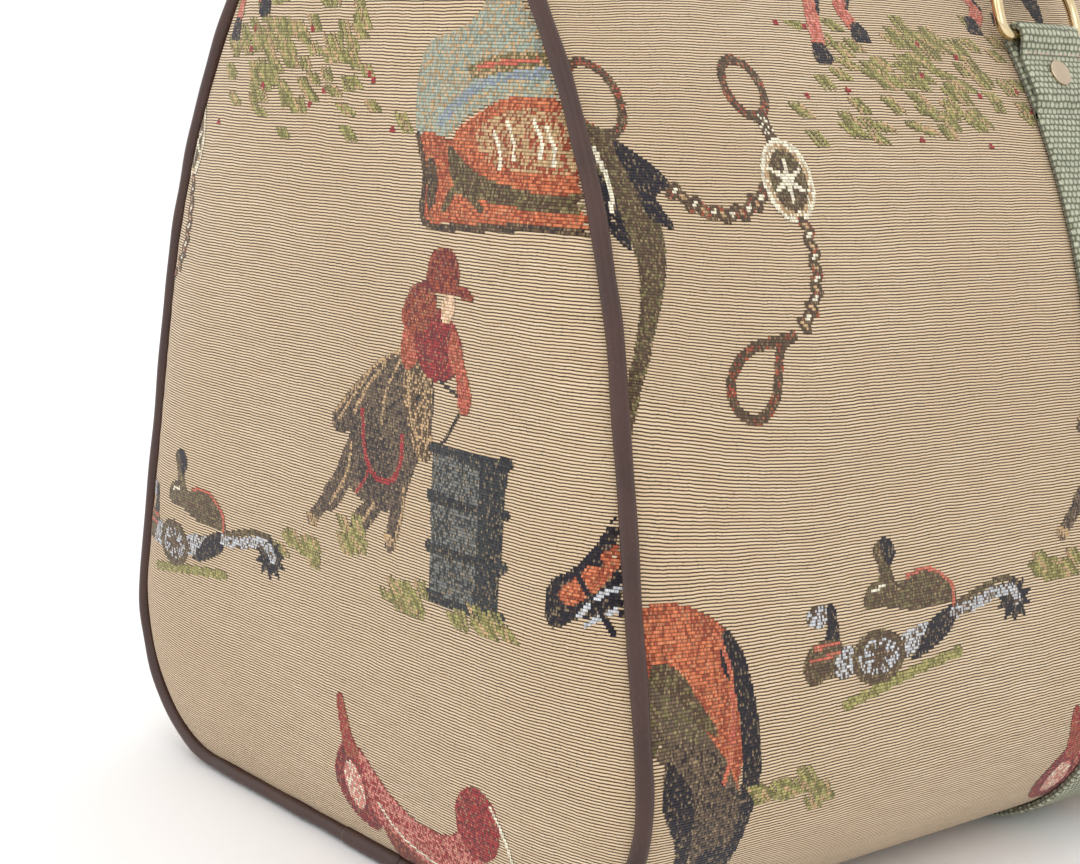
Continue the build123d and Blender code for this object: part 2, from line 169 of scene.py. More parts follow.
def body(sign, x, v, lift=0.0):
    """A point of the front or back panel: x along the bag, v up the cloth."""
    x, v = np.broadcast_arrays(np.asarray(x, float), np.asarray(v, float))
    full = np.sin(np.clip((half_length - abs(x)) / taper_run, 0, 1) * pi / 2)[..., None]
    point = lookup(v, end_points) * (1 - full) + lookup(v, belly_points) * full
    normal = unit(lookup(v, end_normals) * (1 - full) + lookup(v, belly_normals) * full)
    from_end = half_length - abs(x)
    free = ease(0.004, 0.05, from_end) * off_straps(x)
    rise = ease(0.0, 0.03, hem_run - v) * ease(0.12, 0.2, v)
    drape = 1.5 * MM * free * rise * ripple(x, v, sign)
    # Sag under the base, puckers along the end seams, then the three seams' dips.
    drape = drape + 1.3 * MM * free * (1 - ease(0.03, 0.075, v)) * ease(0, 0.02, v)
    tug = np.sin(v * 2 * pi / 0.013 + 3 * np.sin(v * 31) + sign)
    drape = drape + 0.28 * MM * np.exp(-from_end / 0.010) * tug
    drape = drape - 0.9 * MM * np.exp(-((from_end / 0.0032) ** 2))
    drape = drape - 0.8 * MM * np.exp(-((v / 0.0025) ** 2))
    drape = drape - 0.5 * MM * np.exp(-(((hem_run - v - 0.0035) / 0.0012) ** 2))
    grown = point + normal * (drape + lift)[..., None]
    return np.stack([x, sign * grown[..., 0], grown[..., 1]], -1)


# --- ends of the bag --------------------------------------------------------------------
end_middle = 0.130
rim = end_points - 0.0018 * end_normals
rim_angles = np.arctan2(rim[:, 1] - end_middle, rim[:, 0])
rim_reach = np.hypot(rim[:, 0], rim[:, 1] - end_middle)


def end_cap(sign, y, z, lift=0.0):
    """A point of an end panel, which swells outward inside its piping."""
    y, z = np.broadcast_arrays(np.asarray(y, float), np.asarray(z, float))
    reach = np.interp(np.arctan2(z - end_middle, abs(y)), rim_angles, rim_reach)
    share = np.clip(np.hypot(y, z - end_middle) / reach, 0, 1)
    dome = (1 - share**5) ** 0.72
    swell = 12.6 * MM * dome * (1 - 0.30 * ease(0.16, 0.29, z))
    uneven = 1.1 * MM * (1 - share**4) * ripple(y * 1.4, z * 1.4, 2 + sign)
    angle = np.arctan2(z - end_middle, y)
    tug = 0.25 * MM * np.sin(angle * 61 + 4 * np.sin(5 * angle)) * ease(0.86, 0.98, share)
    x = half_length - 1.2 * MM + swell + uneven + tug * (1 - share) * 8 + lift
    return np.stack([sign * x, y, z], -1)


# Each panel as seen from outside: a to the viewer's right, b up, both in metres.
panels = {
    "front": lambda a, b: body(-1, a - half_length, b),
    "back": lambda a, b: body(1, half_length - a, b),
    "left_end": lambda a, b: end_cap(-1, -a, b),
    "right_end": lambda a, b: end_cap(1, a, b),
}


def raised(panel, a, b, lift):
    """Points of a panel, lifted off it along its own normal."""
    surface = panels[panel]
    step = 0.0004
    here = surface(a, b)
    across = surface(a + step, b) - surface(a - step, b)
    up = surface(a, b + step) - surface(a, b - step)
    return here + lift * unit(np.cross(across, up))


# --- mesh helpers -----------------------------------------------------------------------
def make_mesh(name, points, faces, material, uv=None, colours=None, smooth=True):
    """A mesh object. uv and colours are given per point."""
    mesh = bpy.data.meshes.new(name)
    faces = faces if isinstance(faces, list) else faces.tolist()
    mesh.from_pydata(np.asarray(points).reshape(-1, 3).tolist(), [], faces)
    corner = np.zeros(len(mesh.loops), np.int32)
    mesh.loops.foreach_get("vertex_index", corner)
    if uv is not None:
        layer = mesh.uv_layers.new(name="weave")
        flat = np.asarray(uv, np.float32).reshape(-1, 2)[corner]
        layer.data.foreach_set("uv", flat.ravel())
    if colours is not None:
        attribute = mesh.color_attributes.new("thread", "BYTE_COLOR", "CORNER")
        rgba = np.ones((len(corner), 4), np.float32)
        rgba[:, :3] = np.asarray(colours, np.float32).reshape(-1, 3)[corner]
        attribute.data.foreach_set("color", rgba.ravel())
    mesh.polygons.foreach_set("use_smooth", np.full(len(mesh.polygons), smooth))
    mesh.materials.append(material)
    mesh.update()
    piece = bpy.data.objects.new(name, mesh)
    bpy.context.scene.collection.objects.link(piece)
    return piece


def grid_faces(rows, columns, wrap=False):
    """Quads over a grid of points, rows by columns; wrap joins the last column to the first."""
    index = np.arange(rows * columns).reshape(rows, columns)
    if wrap:
        index = np.concatenate([index, index[:, :1]], 1)
    quads = [index[:-1, :-1], index[:-1, 1:], index[1:, 1:], index[1:, :-1]]
    return np.stack([q.ravel() for q in quads], -1)


def tube(name, path, radius, material, sides=20, closed=False):
    """A round cord along a path; uv runs round it and along it, in metres."""
    tangent = np.gradient(path, axis=0)
    if closed:
        tangent = np.roll(path, -1, 0) - np.roll(path, 1, 0)
    tangent = unit(tangent)
    side = unit(np.cross(tangent, (1.0, 0.0, 0.0)))
    other = np.cross(tangent, side)
    angles = np.linspace(0, 2 * pi, sides, endpoint=False)[None, :, None]
    ring = np.cos(angles) * side[:, None] + np.sin(angles) * other[:, None]
    points = path[:, None] + ring * radius[:, None, None]
    uv = np.stack(np.broadcast_arrays(angles[..., 0] * piping_radius, distances(path)[:, None]), -1)
    if closed:
        points = np.concatenate([points, points[:1]])
        uv = np.concatenate([uv, uv[:1]])
    faces = grid_faces(len(points), sides, wrap=True)
    return make_mesh(name, points, faces[:, ::-1], material, uv)


def ribbon(name, path, across, width, thickness, material, bulge=0.0):
    """Flat webbing along a path. across is its width direction at each point."""
    face = unit(np.cross(unit(np.gradient(path, axis=0)), across))
    half, edge = width / 2, thickness / 2
    rounding = [(0.12, 0.35), (0.5, 0.8), (1.2, 1.0)]
    top = [(edge * inward - half, height) for inward, height in rounding]
    top += [(half * t, 1.0 - bulge * (1 - t * t)) for t in (-0.75, -0.4, 0.0, 0.4, 0.75)]
    top += [(half - edge * inward, height) for inward, height in reversed(rounding)]
    a, b = np.array(top + [(a, -b) for a, b in reversed(top)]).T
    points = path[:, None] + across[:, None] * a[:, None] + face[:, None] * b[:, None] * edge
    uv = np.stack(np.broadcast_arrays(a[None, :] + np.sign(b) * 0.05, distances(path)[:, None]), -1)
    count = len(a)
    faces = grid_faces(len(path), count, wrap=True).tolist()
    last = (len(path) - 1) * count
    for i in range(len(top) - 1):
        mirror = count - 1 - i
        cap = [i, i + 1, mirror - 1, mirror]
        faces += [cap[::-1], [last + j for j in cap]]
    return make_mesh(name, points, faces, material, uv)


def along(path, values, at):
    """Values given at a path's points, read at distances along it."""
    length = distances(path)
    return np.stack([np.interp(at, length, column) for column in values.T], -1)


def stitches(name, lines, material, pitch=0.0034, share=0.74, radius=0.00032):
    """Thread stitches along lines. Each line is its path and the outward normals there."""
    points, faces = [], []
    sides = 6
    size = radius * np.array([0.35, 0.95, 1.0, 1.0, 0.95, 0.35])
    arch = np.sin(np.linspace(0, pi, len(size))) ** 0.6
    angles = np.linspace(0, 2 * pi, sides, endpoint=False)[None, :, None]
    for path, normals in lines:
        total = distances(path)[-1]
        count = max(1, int(total / pitch))
        gap = total / count
        for k in range(count):
            at = gap * (k + (1 - share) / 2) + gap * share * np.linspace(0, 1, len(size))
            out = unit(along(path, normals, at))
            centre = along(path, path, at) + out * ((arch - 0.75) * radius * 1.1)[:, None]
            side = unit(np.cross(unit(np.gradient(centre, axis=0)), out))
            ring = np.cos(angles) * side[:, None] + np.sin(angles) * out[:, None]
            faces.append(grid_faces(len(size), sides, wrap=True) + len(points) * len(size) * sides)
            points.append((centre[:, None] + ring * size[:, None, None]).reshape(-1, 3))
    return make_mesh(name, np.concatenate(points), np.concatenate(faces), material)


# --- materials --------------------------------------------------------------------------
def linear(red, green, blue):
    """A colour as seen on a screen, 0 to 255, made linear for a shader."""
    out = []
    for value in (red, green, blue):
        value = value / 255
        out.append(value / 12.92 if value <= 0.04045 else ((value + 0.055) / 1.055) ** 2.4)
    return (*out, 1.0)


class Material:
    """A node material, with short calls for the nodes that these finishes need."""

    def __init__(self, name, roughness, metallic=0.0, **sockets):
        self.material = bpy.data.materials.new(name)
        self.material.use_nodes = True
        self.nodes = self.material.node_tree.nodes
        self.links = self.material.node_tree.links
        self.shader = self.nodes["Principled BSDF"]
        self.shader.inputs["Roughness"].default_value = roughness
        self.shader.inputs["Metallic"].default_value = metallic
        for socket, value in sockets.items():
            self.shader.inputs[socket.replace("_", " ")].default_value = value

    def node(self, kind, inputs=None, **settings):
        made = self.nodes.new(kind)
        for key, value in settings.items():
            setattr(made, key, value)
        for key, value in (inputs or {}).items():
            self.put(made.inputs[key], value)
        return made

    def put(self, socket, value):
        if isinstance(value, bpy.types.NodeSocket):
            self.links.new(value, socket)
        else:
            socket.default_value = value

    def math(self, operation, *values):
        made = self.node("ShaderNodeMath", operation=operation)
        for socket, value in zip(made.inputs, values):
            self.put(socket, value)
        return made.outputs[0]

    def times(self, first, second):
        return self.math("MULTIPLY", first, second)

    def plus(self, first, second):
        return self.math("ADD", first, second)

    def above(self, value, limit):
        return self.math("GREATER_THAN", value, limit)

    def floor(self, value):
        return self.math("FLOOR", value)

    def hump(self, value):
        """Rounded humps, one from each whole number to the next."""
        return self.math("ABSOLUTE", self.math("SINE", self.times(value, pi)))

    def span(self, value, low, high, to_low=0.0, to_high=1.0, smooth=False):
        kind = "SMOOTHSTEP" if smooth else "LINEAR"
        made = self.node("ShaderNodeMapRange", interpolation_type=kind)
        for socket, item in zip(made.inputs, (value, low, high, to_low, to_high)):
            self.put(socket, item)
        return made.outputs[0]

    def mix(self, share, first, second, blend="MIX"):
        made = self.node("ShaderNodeMix", data_type="RGBA", blend_type=blend)
        self.put(made.inputs[0], share)
        self.put(made.inputs[6], first)
        self.put(made.inputs[7], second)
        return made.outputs[2]

    def uv(self):
        """The two cloth coordinates, in metres."""
        source = self.node("ShaderNodeUVMap", uv_map="weave").outputs[0]
        split = self.node("ShaderNodeSeparateXYZ", {0: source})
        return split.outputs[0], split.outputs[1]

    def place(self):
        return self.node("ShaderNodeTexCoord").outputs["Object"]

    def point(self, x, y, z=0.0):
        return self.node("ShaderNodeCombineXYZ", {0: x, 1: y, 2: z}).outputs[0]

    def noise(self, vector, scale, detail=2.0):
        inputs = {"Vector": vector, "Scale": scale, "Detail": detail}
        return self.node("ShaderNodeTexNoise", inputs).outputs[0]

    def speck(self, vector):
        """A different random number for each vector."""
        return self.node("ShaderNodeTexWhiteNoise", {"Vector": vector}).outputs[0]

    def bump(self, height, distance, strength=1.0):
        inputs = {"Height": height, "Distance": distance, "Strength": strength}
        made = self.node("ShaderNodeBump", inputs)
        self.links.new(made.outputs[0], self.shader.inputs["Normal"])

    def colour(self, socket):
        self.put(self.shader.inputs["Base Color"], socket)


def woven(name, threads=False):
    """Ribbed tapestry: cream ribs, dark gaps, fine cross threads, stray dark picks.

    With threads, the rib colour comes from the piece's own thread colours.
    """
    m = Material(name, 0.88, Sheen_Weight=0.18, Sheen_Roughness=0.5, Specular_IOR_Level=0.2)
    u, v = m.uv()
    place = m.point(u, v)
    quick = m.noise(m.point(u, m.times(v, 0.35)), 420.0, 1.0)
    tremble = m.times(m.math("SUBTRACT", quick, 0.5), 0.000105 if threads else 0.0003)
    if not threads:
        slow = m.noise(place, 38.0)
        tremble = m.plus(tremble, m.times(m.math("SUBTRACT", slow, 0.5), 0.0016))
    level = m.math("DIVIDE", m.plus(v, tremble), rib_pitch)
    row = m.floor(level)
    rib = m.hump(level)
    slot_u = m.math("DIVIDE", u, 0.00042)
    slot = m.floor(slot_u)
    cross = m.hump(m.plus(slot_u, m.times(row, 0.5)))
    random = m.speck(m.point(slot, row))
    if threads:
        source = m.node("ShaderNodeVertexColor", layer_name="thread").outputs[0]
        shade = m.span(random, 0.0, 1.0, 0.62, 1.3)
        shade = m.times(shade, m.span(rib, 0.0, 0.65, 0.34, 1.06))
        shade = m.times(shade, m.span(cross, 0.0, 0.8, 0.66, 1.06))
        grey = m.node("ShaderNodeCombineColor", {0: shade, 1: shade, 2: shade}).outputs[0]
        stray = m.above(m.speck(m.point(slot, row, 5.0)), 0.86)
        source = m.mix(m.times(stray, 0.3), source, linear(205, 176, 132))
        m.colour(m.mix(1.0, source, grey, "MULTIPLY"))
    else:
        streak = m.noise(m.point(m.times(u, 90.0), m.times(row, 7.3)), 1.0)
        cream = m.mix(m.span(streak, 0.3, 0.7), linear(219, 192, 156), linear(242, 219, 186))
        tone = m.noise(place, 9.0, 3.0)
        cream = m.mix(m.span(tone, 0.3, 0.7), cream, linear(223, 195, 159))
        pale = m.above(m.noise(m.point(m.times(u, 260.0), row), 1.0), 0.66)
        cream = m.mix(m.times(pale, 0.5), cream, linear(243, 230, 207))
        per_row = m.speck(m.point(row, 3.7))
        gap = m.mix(per_row, linear(56, 40, 27), linear(86, 64, 45))
        dark = m.above(random, 0.955)
        gap = m.mix(dark, gap, linear(44, 34, 30))
        width = m.plus(0.64, m.times(dark, 0.14))
        open_rib = m.span(rib, m.times(width, 0.55), m.plus(width, 0.22), smooth=True)
        cream = m.mix(m.span(cross, 0.0, 0.7, 0.22, 0.0), cream, linear(176, 146, 104))
        m.colour(m.mix(open_rib, gap, cream))
    m.bump(m.plus(rib, m.times(cross, 0.35)), 0.00022, 0.8)
    return m.material


def webbing_material(name):
    """Coarse woven webbing: rows of plump sage threads, with painted shade in the hollows between
    them and painted cream highlights, streaked like fibres, on their tops.
    """
    m = Material(name, 0.9, Sheen_Weight=0.15, Specular_IOR_Level=0.2)
    u, v = m.uv()
    place = m.point(u, v)
    stir = m.noise(place, 260.0, 1.0)
    level = m.math("DIVIDE", m.plus(v, m.times(stir, 0.0008)), 0.0019)
    row = m.floor(level)
    half = m.times(m.math("MODULO", row, 2.0), 0.5)
    slot_u = m.plus(m.math("DIVIDE", u, 0.0021), half)
    bead = m.times(m.hump(level), m.hump(slot_u))
    random = m.speck(m.point(m.floor(slot_u), row))
    fibre = m.noise(m.point(m.times(u, 5200.0), m.times(v, 1500.0)), 1.0)
    sage = m.mix(random, linear(154, 158, 134), linear(178, 181, 157))
    cream = m.mix(fibre, linear(212, 212, 188), linear(238, 236, 214))
    tone = m.noise(place, 70.0)
    # Painted highlight: cream fibre streaks on the tops of the beads.
    painted_highlight = m.times(m.span(fibre, 0.42, 0.68), m.span(tone, 0.3, 0.7, 0.45, 1.0))
    # Painted shade: a darker green in the hollows between the beads.
    low = m.mix(random, linear(92, 95, 76), linear(122, 124, 102))
    m.colour(m.mix(m.span(bead, 0.1, 0.6, smooth=True), low, m.mix(painted_highlight, sage, cream)))
    m.bump(m.plus(bead, m.times(fibre, 0.15)), 0.0007, 0.85)
    return m.material


def leather_material():
    """Dark brown leatherette: satin, with a fine pebbled grain and painted highlights as paler
    specks on its high spots.
    """
    m = Material("piping_leather", 0.42, Specular_IOR_Level=0.45)
    place = m.place()
    cells = m.node("ShaderNodeTexVoronoi", {"Vector": place, "Scale": 2600.0}).outputs[0]
    broad = m.noise(place, 60.0, 3.0)
    fine = m.noise(place, 1800.0)
    tone = m.mix(m.span(broad, 0.3, 0.7), linear(56, 34, 28), linear(70, 44, 37))
    # Painted highlight: paler specks where the fine grain stands highest.
    m.colour(m.mix(m.span(fine, 0.62, 0.8), tone, linear(90, 64, 58)))
    m.put(m.shader.inputs["Roughness"], m.span(broad, 0.3, 0.7, 0.36, 0.5))
    m.bump(m.plus(cells, m.times(fine, 0.4)), 0.00005, 0.7)
    return m.material


def metal_material(name, tint, dull, roughness):
    """Plated metal with faint brushing and small dull spots."""
    m = Material(name, roughness, 1.0)
    place = m.place()
    broad = m.noise(place, 130.0, 3.0)
    brushed = m.noise(place, 3200.0)
    m.colour(m.mix(m.span(broad, 0.35, 0.75), linear(*tint), linear(*dull)))
    m.put(m.shader.inputs["Roughness"], m.span(broad, 0.3, 0.8, roughness * 0.8, roughness * 1.6))
    m.bump(brushed, 0.00001, 0.4)
    return m.material


def thread_material(name, tint, dark):
    """Twisted sewing thread."""
    m = Material(name, 0.7, Sheen_Weight=0.1)
    twist = m.noise(m.place(), 5200.0, 1.0)
    m.colour(m.mix(m.span(twist, 0.35, 0.65), linear(*dark), linear(*tint)))
    m.bump(twist, 0.00008, 0.8)
    return m.material


def cloth_material(name, tint, dark, pitch):
    """Plain fine weave, for tape, lining and board."""
    m = Material(name, 0.85, Sheen_Weight=0.1)
    place = m.place()
    split = m.node("ShaderNodeSeparateXYZ", {0: place})
    x, y = split.outputs[0], m.plus(split.outputs[1], split.outputs[2])
    first = m.hump(m.math("DIVIDE", m.plus(x, y), pitch))
    second = m.hump(m.math("DIVIDE", m.math("SUBTRACT", x, y), pitch))
    weave = m.times(first, second)
    tone = m.noise(place, 40.0)
    base = m.mix(weave, linear(*dark), linear(*tint))
    m.colour(m.mix(m.span(tone, 0.3, 0.7, 0.0, 0.35), base, linear(*dark)))
    m.bump(weave, 0.0001, 0.6)
    return m.material


tapestry = woven("tapestry")
motif_threads = woven("motif_threads", threads=True)
webbing = webbing_material("webbing")
leather = leather_material()
gold = metal_material("ring_metal", (233, 214, 176), (214, 190, 146), 0.13)
champagne = metal_material("rivet_metal", (202, 184, 160), (184, 164, 138), 0.3)
brass = metal_material("zip_metal", (214, 186, 132), (176, 146, 96), 0.24)
steel = metal_material("washer_metal", (190, 190, 186), (150, 150, 146), 0.35)
strap_thread = thread_material("strap_thread", (214, 186, 170), (168, 138, 124))
handle_thread = thread_material("handle_thread", (180, 182, 152), (132, 136, 108))
hem_thread = thread_material("hem_thread", (214, 190, 150), (160, 132, 96))
tape_cloth = cloth_material("zip_tape", (92, 62, 52), (52, 34, 28), 0.0007)
lining_cloth = cloth_material("lining", (150, 128, 100), (108, 90, 68), 0.0005)
board_card = cloth_material("board", (120, 104, 84), (84, 72, 58), 0.0011)

finishes = [
    ("_ring", gold), ("_washer", steel), ("_rivet", champagne), ("_zip_stop", brass),
    ("zip_slider", brass), ("zip_pull", brass), ("lining", lining_cloth),
    ("base_board", board_card),
]
for name, node in nodes.items():
    for ending, finish in finishes:
        if name.endswith(ending):
            node.data.materials.clear()
            node.data.materials.append(finish)
            node.data.polygons.foreach_set("use_smooth", np.full(len(node.data.polygons), True))


def settle(piece, ride_on, slot, *stands_for):
    """Puts a piece on its CAD body, in place of its CAD nodes, which it hides. Its slot is not
    used.
    """
    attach(piece, ride_on)
    if stands_for:
        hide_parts(*stands_for)
    return piece


# --- tapestry panels --------------------------------------------------------------------
seam_fine = np.array([0.0, 0.0012, 0.0025, 0.004, 0.006, 0.0085, 0.0115, 0.015])
reach_x = half_length - 0.0006
from_seam = reach_x - seam_fine
columns = np.concatenate([-from_seam, np.linspace(-0.262, 0.262, 176), from_seam[::-1]])
near_base = [0.0003, 0.001, 0.002, 0.0035, 0.006]
near_hem = hem_run - np.array([0.0062, 0.0052, 0.0044, 0.0038, 0.0032, 0.0024, 0.0014])
turned_in = [(-0.0003, -0.0003), (0.0, -0.0012), (-0.0004, -0.0022), (-0.006, -0.0024)]
past_hem, sunk = np.array(turned_in).T
flat_rows = np.concatenate([near_base, np.linspace(0.009, hem_run - 0.008, 150), near_hem])
rows = np.concatenate([flat_rows, hem_run + past_hem])
lifts = np.concatenate([np.zeros(len(flat_rows)), sunk])
for side, sign in (("front", -1), ("back", 1)):
    across = columns if side == "front" else columns[::-1]
    points = body(sign, across[None, :], rows[:, None], lifts[:, None])
    a = across + half_length if side == "front" else half_length - across
    uv = np.stack(np.broadcast_arrays(a[None, :], rows[:, None]), -1)
    panel = make_mesh(f"{side}_tapestry", points, grid_faces(len(rows), len(columns)), tapestry, uv)
    settle(panel, "bag", "tapestry", f"{side}_panel")

near_rim = [0, 0.004, 0.009, 0.016, 0.026, 0.04, 0.06, 0.085]
shares = 1 - np.concatenate([near_rim, np.linspace(0.115, 1, 42)])
turns = np.concatenate([rim_angles[:-1], pi - rim_angles[::-1][:-1]])
turns = np.interp(np.linspace(0, len(turns), 420, endpoint=False), range(len(turns)), turns)
for end, sign in (("left", -1), ("right", 1)):
    folded = np.where(np.cos(turns) >= 0, turns, pi - turns)
    reach = np.interp(folded, rim_angles, rim_reach)
    y = shares[:, None] * (reach * np.cos(turns))[None, :]
    z = end_middle + shares[:, None] * (reach * np.sin(turns))[None, :]
    points = end_cap(sign, y, z)
    uv = np.stack([y * sign, z], -1)
    faces = grid_faces(len(shares), len(turns), wrap=True)[:, ::sign]
    panel = make_mesh(f"{end}_tapestry", points, faces, tapestry, uv)
    settle(panel, "bag", "tapestry", f"{end}_end_panel")

# --- piping -----------------------------------------------------------------------------
cord_half = end_points - piping_inset * end_normals
cord_line = np.concatenate([cord_half[:-1], cord_half[::-1][:-1] * (-1, 1)])
cord_line = cord_line[np.r_[True, np.linalg.norm(np.diff(cord_line, axis=0), axis=1) > 1e-6]]
sleeve_y = np.array([-26.2, -26.1, -25.8, -25.0, -23.0, -12.0, -1.0, 0.5, 1.7, 2.1, 2.2])
sleeve_size = [0.5, 2.3, 2.62, 2.75, 2.7, 2.74, 2.7, 2.75, 2.62, 2.3, 0.5]
for end, sign in (("left", -1), ("right", 1)):
    path = np.column_stack([np.full(len(cord_line), sign * half_length), cord_line])
    path[:, 0] += 0.12 * MM * np.sin(np.arange(len(path)) * 0.31 + sign)
    swollen = piping_radius * (1 + 0.03 * np.sin(np.arange(len(path)) * 0.47))
    cord = tube(f"{end}_piping_cord", path, swollen, leather, closed=True)
    settle(cord, "bag", "piping_leather", f"{end}_piping")
    path = np.full((len(sleeve_y), 3), (sign * half_length, 0.0, floor_gap + piping_inset))
    path[:, 1] = sleeve_y * MM
    size = np.array(sleeve_size) * MM
    sleeve = tube(f"{end}_piping_sleeve", path, size, leather)
    settle(sleeve, "bag", "piping_leather", f"{end}_piping_join")


# --- straps -----------------------------------------------------------------------------
ring_run = run_at(ring_bar_height)
bar_out = unit(lookup(ring_run, belly_normals))
bar_yz = lookup(ring_run, belly_points) + ring_bar_out * bar_out


strap_lift = 1.4 * MM  # from the cloth to the middle of the webbing
loop_radius = 3.1 * MM  # round a ring's bar
fold_lift = 3.75 * MM  # from the cloth to the middle of the folded end
fold_flare = 3.85 * MM  # how much further out the fold is at the ring's bar
fold_sink = 2.5 * MM  # how far the end of the fold dips into the strap below it


def strap_side():
    """Middle of the webbing from under the bag up, round a ring's bar and back down."""
    runs = np.linspace(0, ring_run, 170)
    path = lookup(runs, belly_points) + strap_lift * lookup(runs, belly_normals)
    up = np.array([-bar_out[1], bar_out[0]])
    turn = np.linspace(0.15, pi, 18)[:, None]
    loop = bar_yz + loop_radius * (-bar_out * np.cos(turn) + up * np.sin(turn))
    fold_end = ring_run - fold_length
    down = np.linspace(ring_run - 0.001, fold_end - 0.004, 44)
    lift = fold_lift + fold_flare * ease(ring_run - fold_blend, ring_run, down)
    lift = lift - fold_sink * (1 - ease(fold_end - 0.004, fold_end + 0.003, down))
    back = lookup(down, belly_points) + lift[:, None] * lookup(down, belly_normals)
    return np.concatenate([path, loop, back])


side_path = strap_side()
strap_yz = np.concatenate([(side_path[::-1] * (-1, 1))[:-1], side_path])
for place, x in strap_middles.items():
    path = np.column_stack([np.full(len(strap_yz), x), strap_yz])
    across = np.tile((1.0, 0.0, 0.0), (len(path), 1))
    strap = ribbon(f"{place}_webbing", path, across, webbing_width, webbing_thickness, webbing)
    settle(strap, "bag", "webbing", f"{place}_strap")

stitch_run = ring_run - stitch_drop
out_y, out_z = lookup(stitch_run, belly_normals)
y, z = lookup(stitch_run, belly_points) + 5.25 * MM * lookup(stitch_run, belly_normals)
stitch_lines = []
for x in strap_middles.values():
    for sign in (-1, 1):
        path = np.linspace((x - 0.0132, sign * y, z), (x + 0.0132, sign * y, z), 9)
        stitch_lines.append((path, np.tile((0, sign * out_y, out_z), (9, 1))))
piece = stitches("strap_stitching", stitch_lines, strap_thread, 0.0029, 0.94, 0.00042)
settle(piece, "bag", "webbing")


# --- handles ----------------------------------------------------------------------------
span = strap_middles["right"]
shoulder_x = span - handle_shoulder
grip_turn = pi / 2 - handle_turn
grip_half = span - handle_shoulder * (1 - cos(handle_turn))
grip_radius = grip_half / sin(grip_turn)
grip_centre = handle_leg_top + handle_shoulder * sin(handle_turn) - grip_radius * cos(grip_turn)
handle_lean = asin((bar_yz[0] - grip_half_gap) / (grip_centre + grip_radius))
tail_points, eye_points, leg_points = 40, 30, 50
low_points = tail_points + eye_points + leg_points


def handle_half():
    """The left half of a handle in its own plane: (along, up, out) and width directions."""
    half = handle_thickness / 2
    tail = np.linspace(ring_top + 0.008 + handle_double, ring_top + 0.0105, tail_points)
    spread = half + (handle_eye - half) * (1 - ease(0.010, 0.026, tail - ring_top))
    points = [(-span, up, -gap) for up, gap in zip(tail, spread)]
    for turn in np.linspace(0.62, 2 * pi - 0.62, eye_points):
        sideways, down = -handle_eye * sin(turn), ring_top + handle_eye * cos(turn)
        points.append((-span, down, sideways))
    leg = np.linspace(ring_top + 0.0105, handle_leg_top, leg_points)
    ready = ease(0.010, 0.026, leg - ring_top)
    settled = 1 - ease(ring_top + handle_double, handle_leg_top, leg)
    spread = half * settled * ready + handle_eye * (1 - ready)
    points += [(-span, up, gap) for up, gap in zip(leg, spread)]
    widths = [(1.0, 0.0, 0.0)] * len(points)
    for turn in np.linspace(0, handle_turn, 30)[1:]:
        x = -shoulder_x - handle_shoulder * cos(turn)
        points.append((x, handle_leg_top + handle_shoulder * sin(turn), 0.0))
        widths.append((cos(turn), -sin(turn), 0.0))
    for turn in np.linspace(grip_turn, 0, 40)[1:]:
        points.append((-grip_radius * sin(turn), grip_centre + grip_radius * cos(turn), 0.0))
        widths.append((sin(turn), -cos(turn), 0.0))
    return np.array(points), np.array(widths)


def handle_place(sign, points, offset=True):
    """From a handle's plane to the bag: its out direction faces away from the zip."""
    x, up, out = np.asarray(points, float).T
    y = -sin(handle_lean) * up + cos(handle_lean) * out
    z = cos(handle_lean) * up + sin(handle_lean) * out
    if offset:
        y, z = y + bar_yz[0], z + bar_yz[1]
    return np.column_stack([x, sign * y, z])


half_points, half_widths = handle_half()
whole_points = np.concatenate([half_points, (half_points[:-1] * (-1, 1, 1))[::-1]])
whole_widths = np.concatenate([half_widths, (half_widths[:-1] * (1, -1, 1))[::-1]])
for side, sign in (("front", -1), ("back", 1)):
    path = handle_place(sign, whole_points)
    across = handle_place(sign, whole_widths, offset=False)
    sizes = (handle_width, handle_thickness)
    handle = ribbon(f"{side}_webbing_handle", path, across, *sizes, webbing, bulge=0.1)
    settle(handle, f"{side}_handle", "webbing", f"{side}_handle")
    lines = []
    grip = slice(low_points - 22, len(whole_points) - low_points + 22)
    for face in (1, -1):
        normal = handle_place(sign, [(0, 0, face)], offset=False)
        for edge in (-1, 1):
            line_points = whole_points[grip] + whole_widths[grip] * edge * 0.0056
            line_points = line_points + np.array([0, 0, face * (handle_thickness / 2 + 0.0001)])
            path = handle_place(sign, line_points)
            lines.append((path, np.tile(normal, (len(path), 1))))
    top, low = ring_top + 0.038, ring_top + 0.021
    for x in (-span, span):
        for face in (1, -1):
            out = face * (handle_thickness + 0.0001)
            normal = handle_place(sign, [(0, 0, face)], offset=False)
            left, right = x - 0.0054, x + 0.0054
            box = [(left, low, out), (right, low, out), (right, top, out), (left, top, out)]
            for i, j in ((0, 1), (1, 2), (2, 3), (3, 0), (0, 2), (1, 3)):
                ends = np.linspace(box[i], box[j], 8)
                lines.append((handle_place(sign, ends), np.tile(normal, (8, 1))))
    piece = stitches(f"{side}_handle_stitching", lines, handle_thread, 0.0032, 0.76, 0.0003)
    settle(piece, f"{side}_handle", "webbing")


# --- zip --------------------------------------------------------------------------------
crown_height = crown_top - crown_radius
tape_radius = tape_top - crown_height
tooth_pitch = 0.0027
tooth_side = [(3.4, 0.62), (1.6, 0.62), (1.25, 0.42), (0.8, 0.5), (0.5, 0.42)]
tooth = np.array([(y, -half) for y, half in tooth_side] + [(0.42, 0.0)] + tooth_side[::-1]) * MM
tooth_middle = np.array([1.4 * MM, 0.0])
tooth_levels = np.array([-1.3, -1.1, 1.1, 1.3]) * MM
tooth_scales = [0.82, 1.0, 1.0, 0.82]


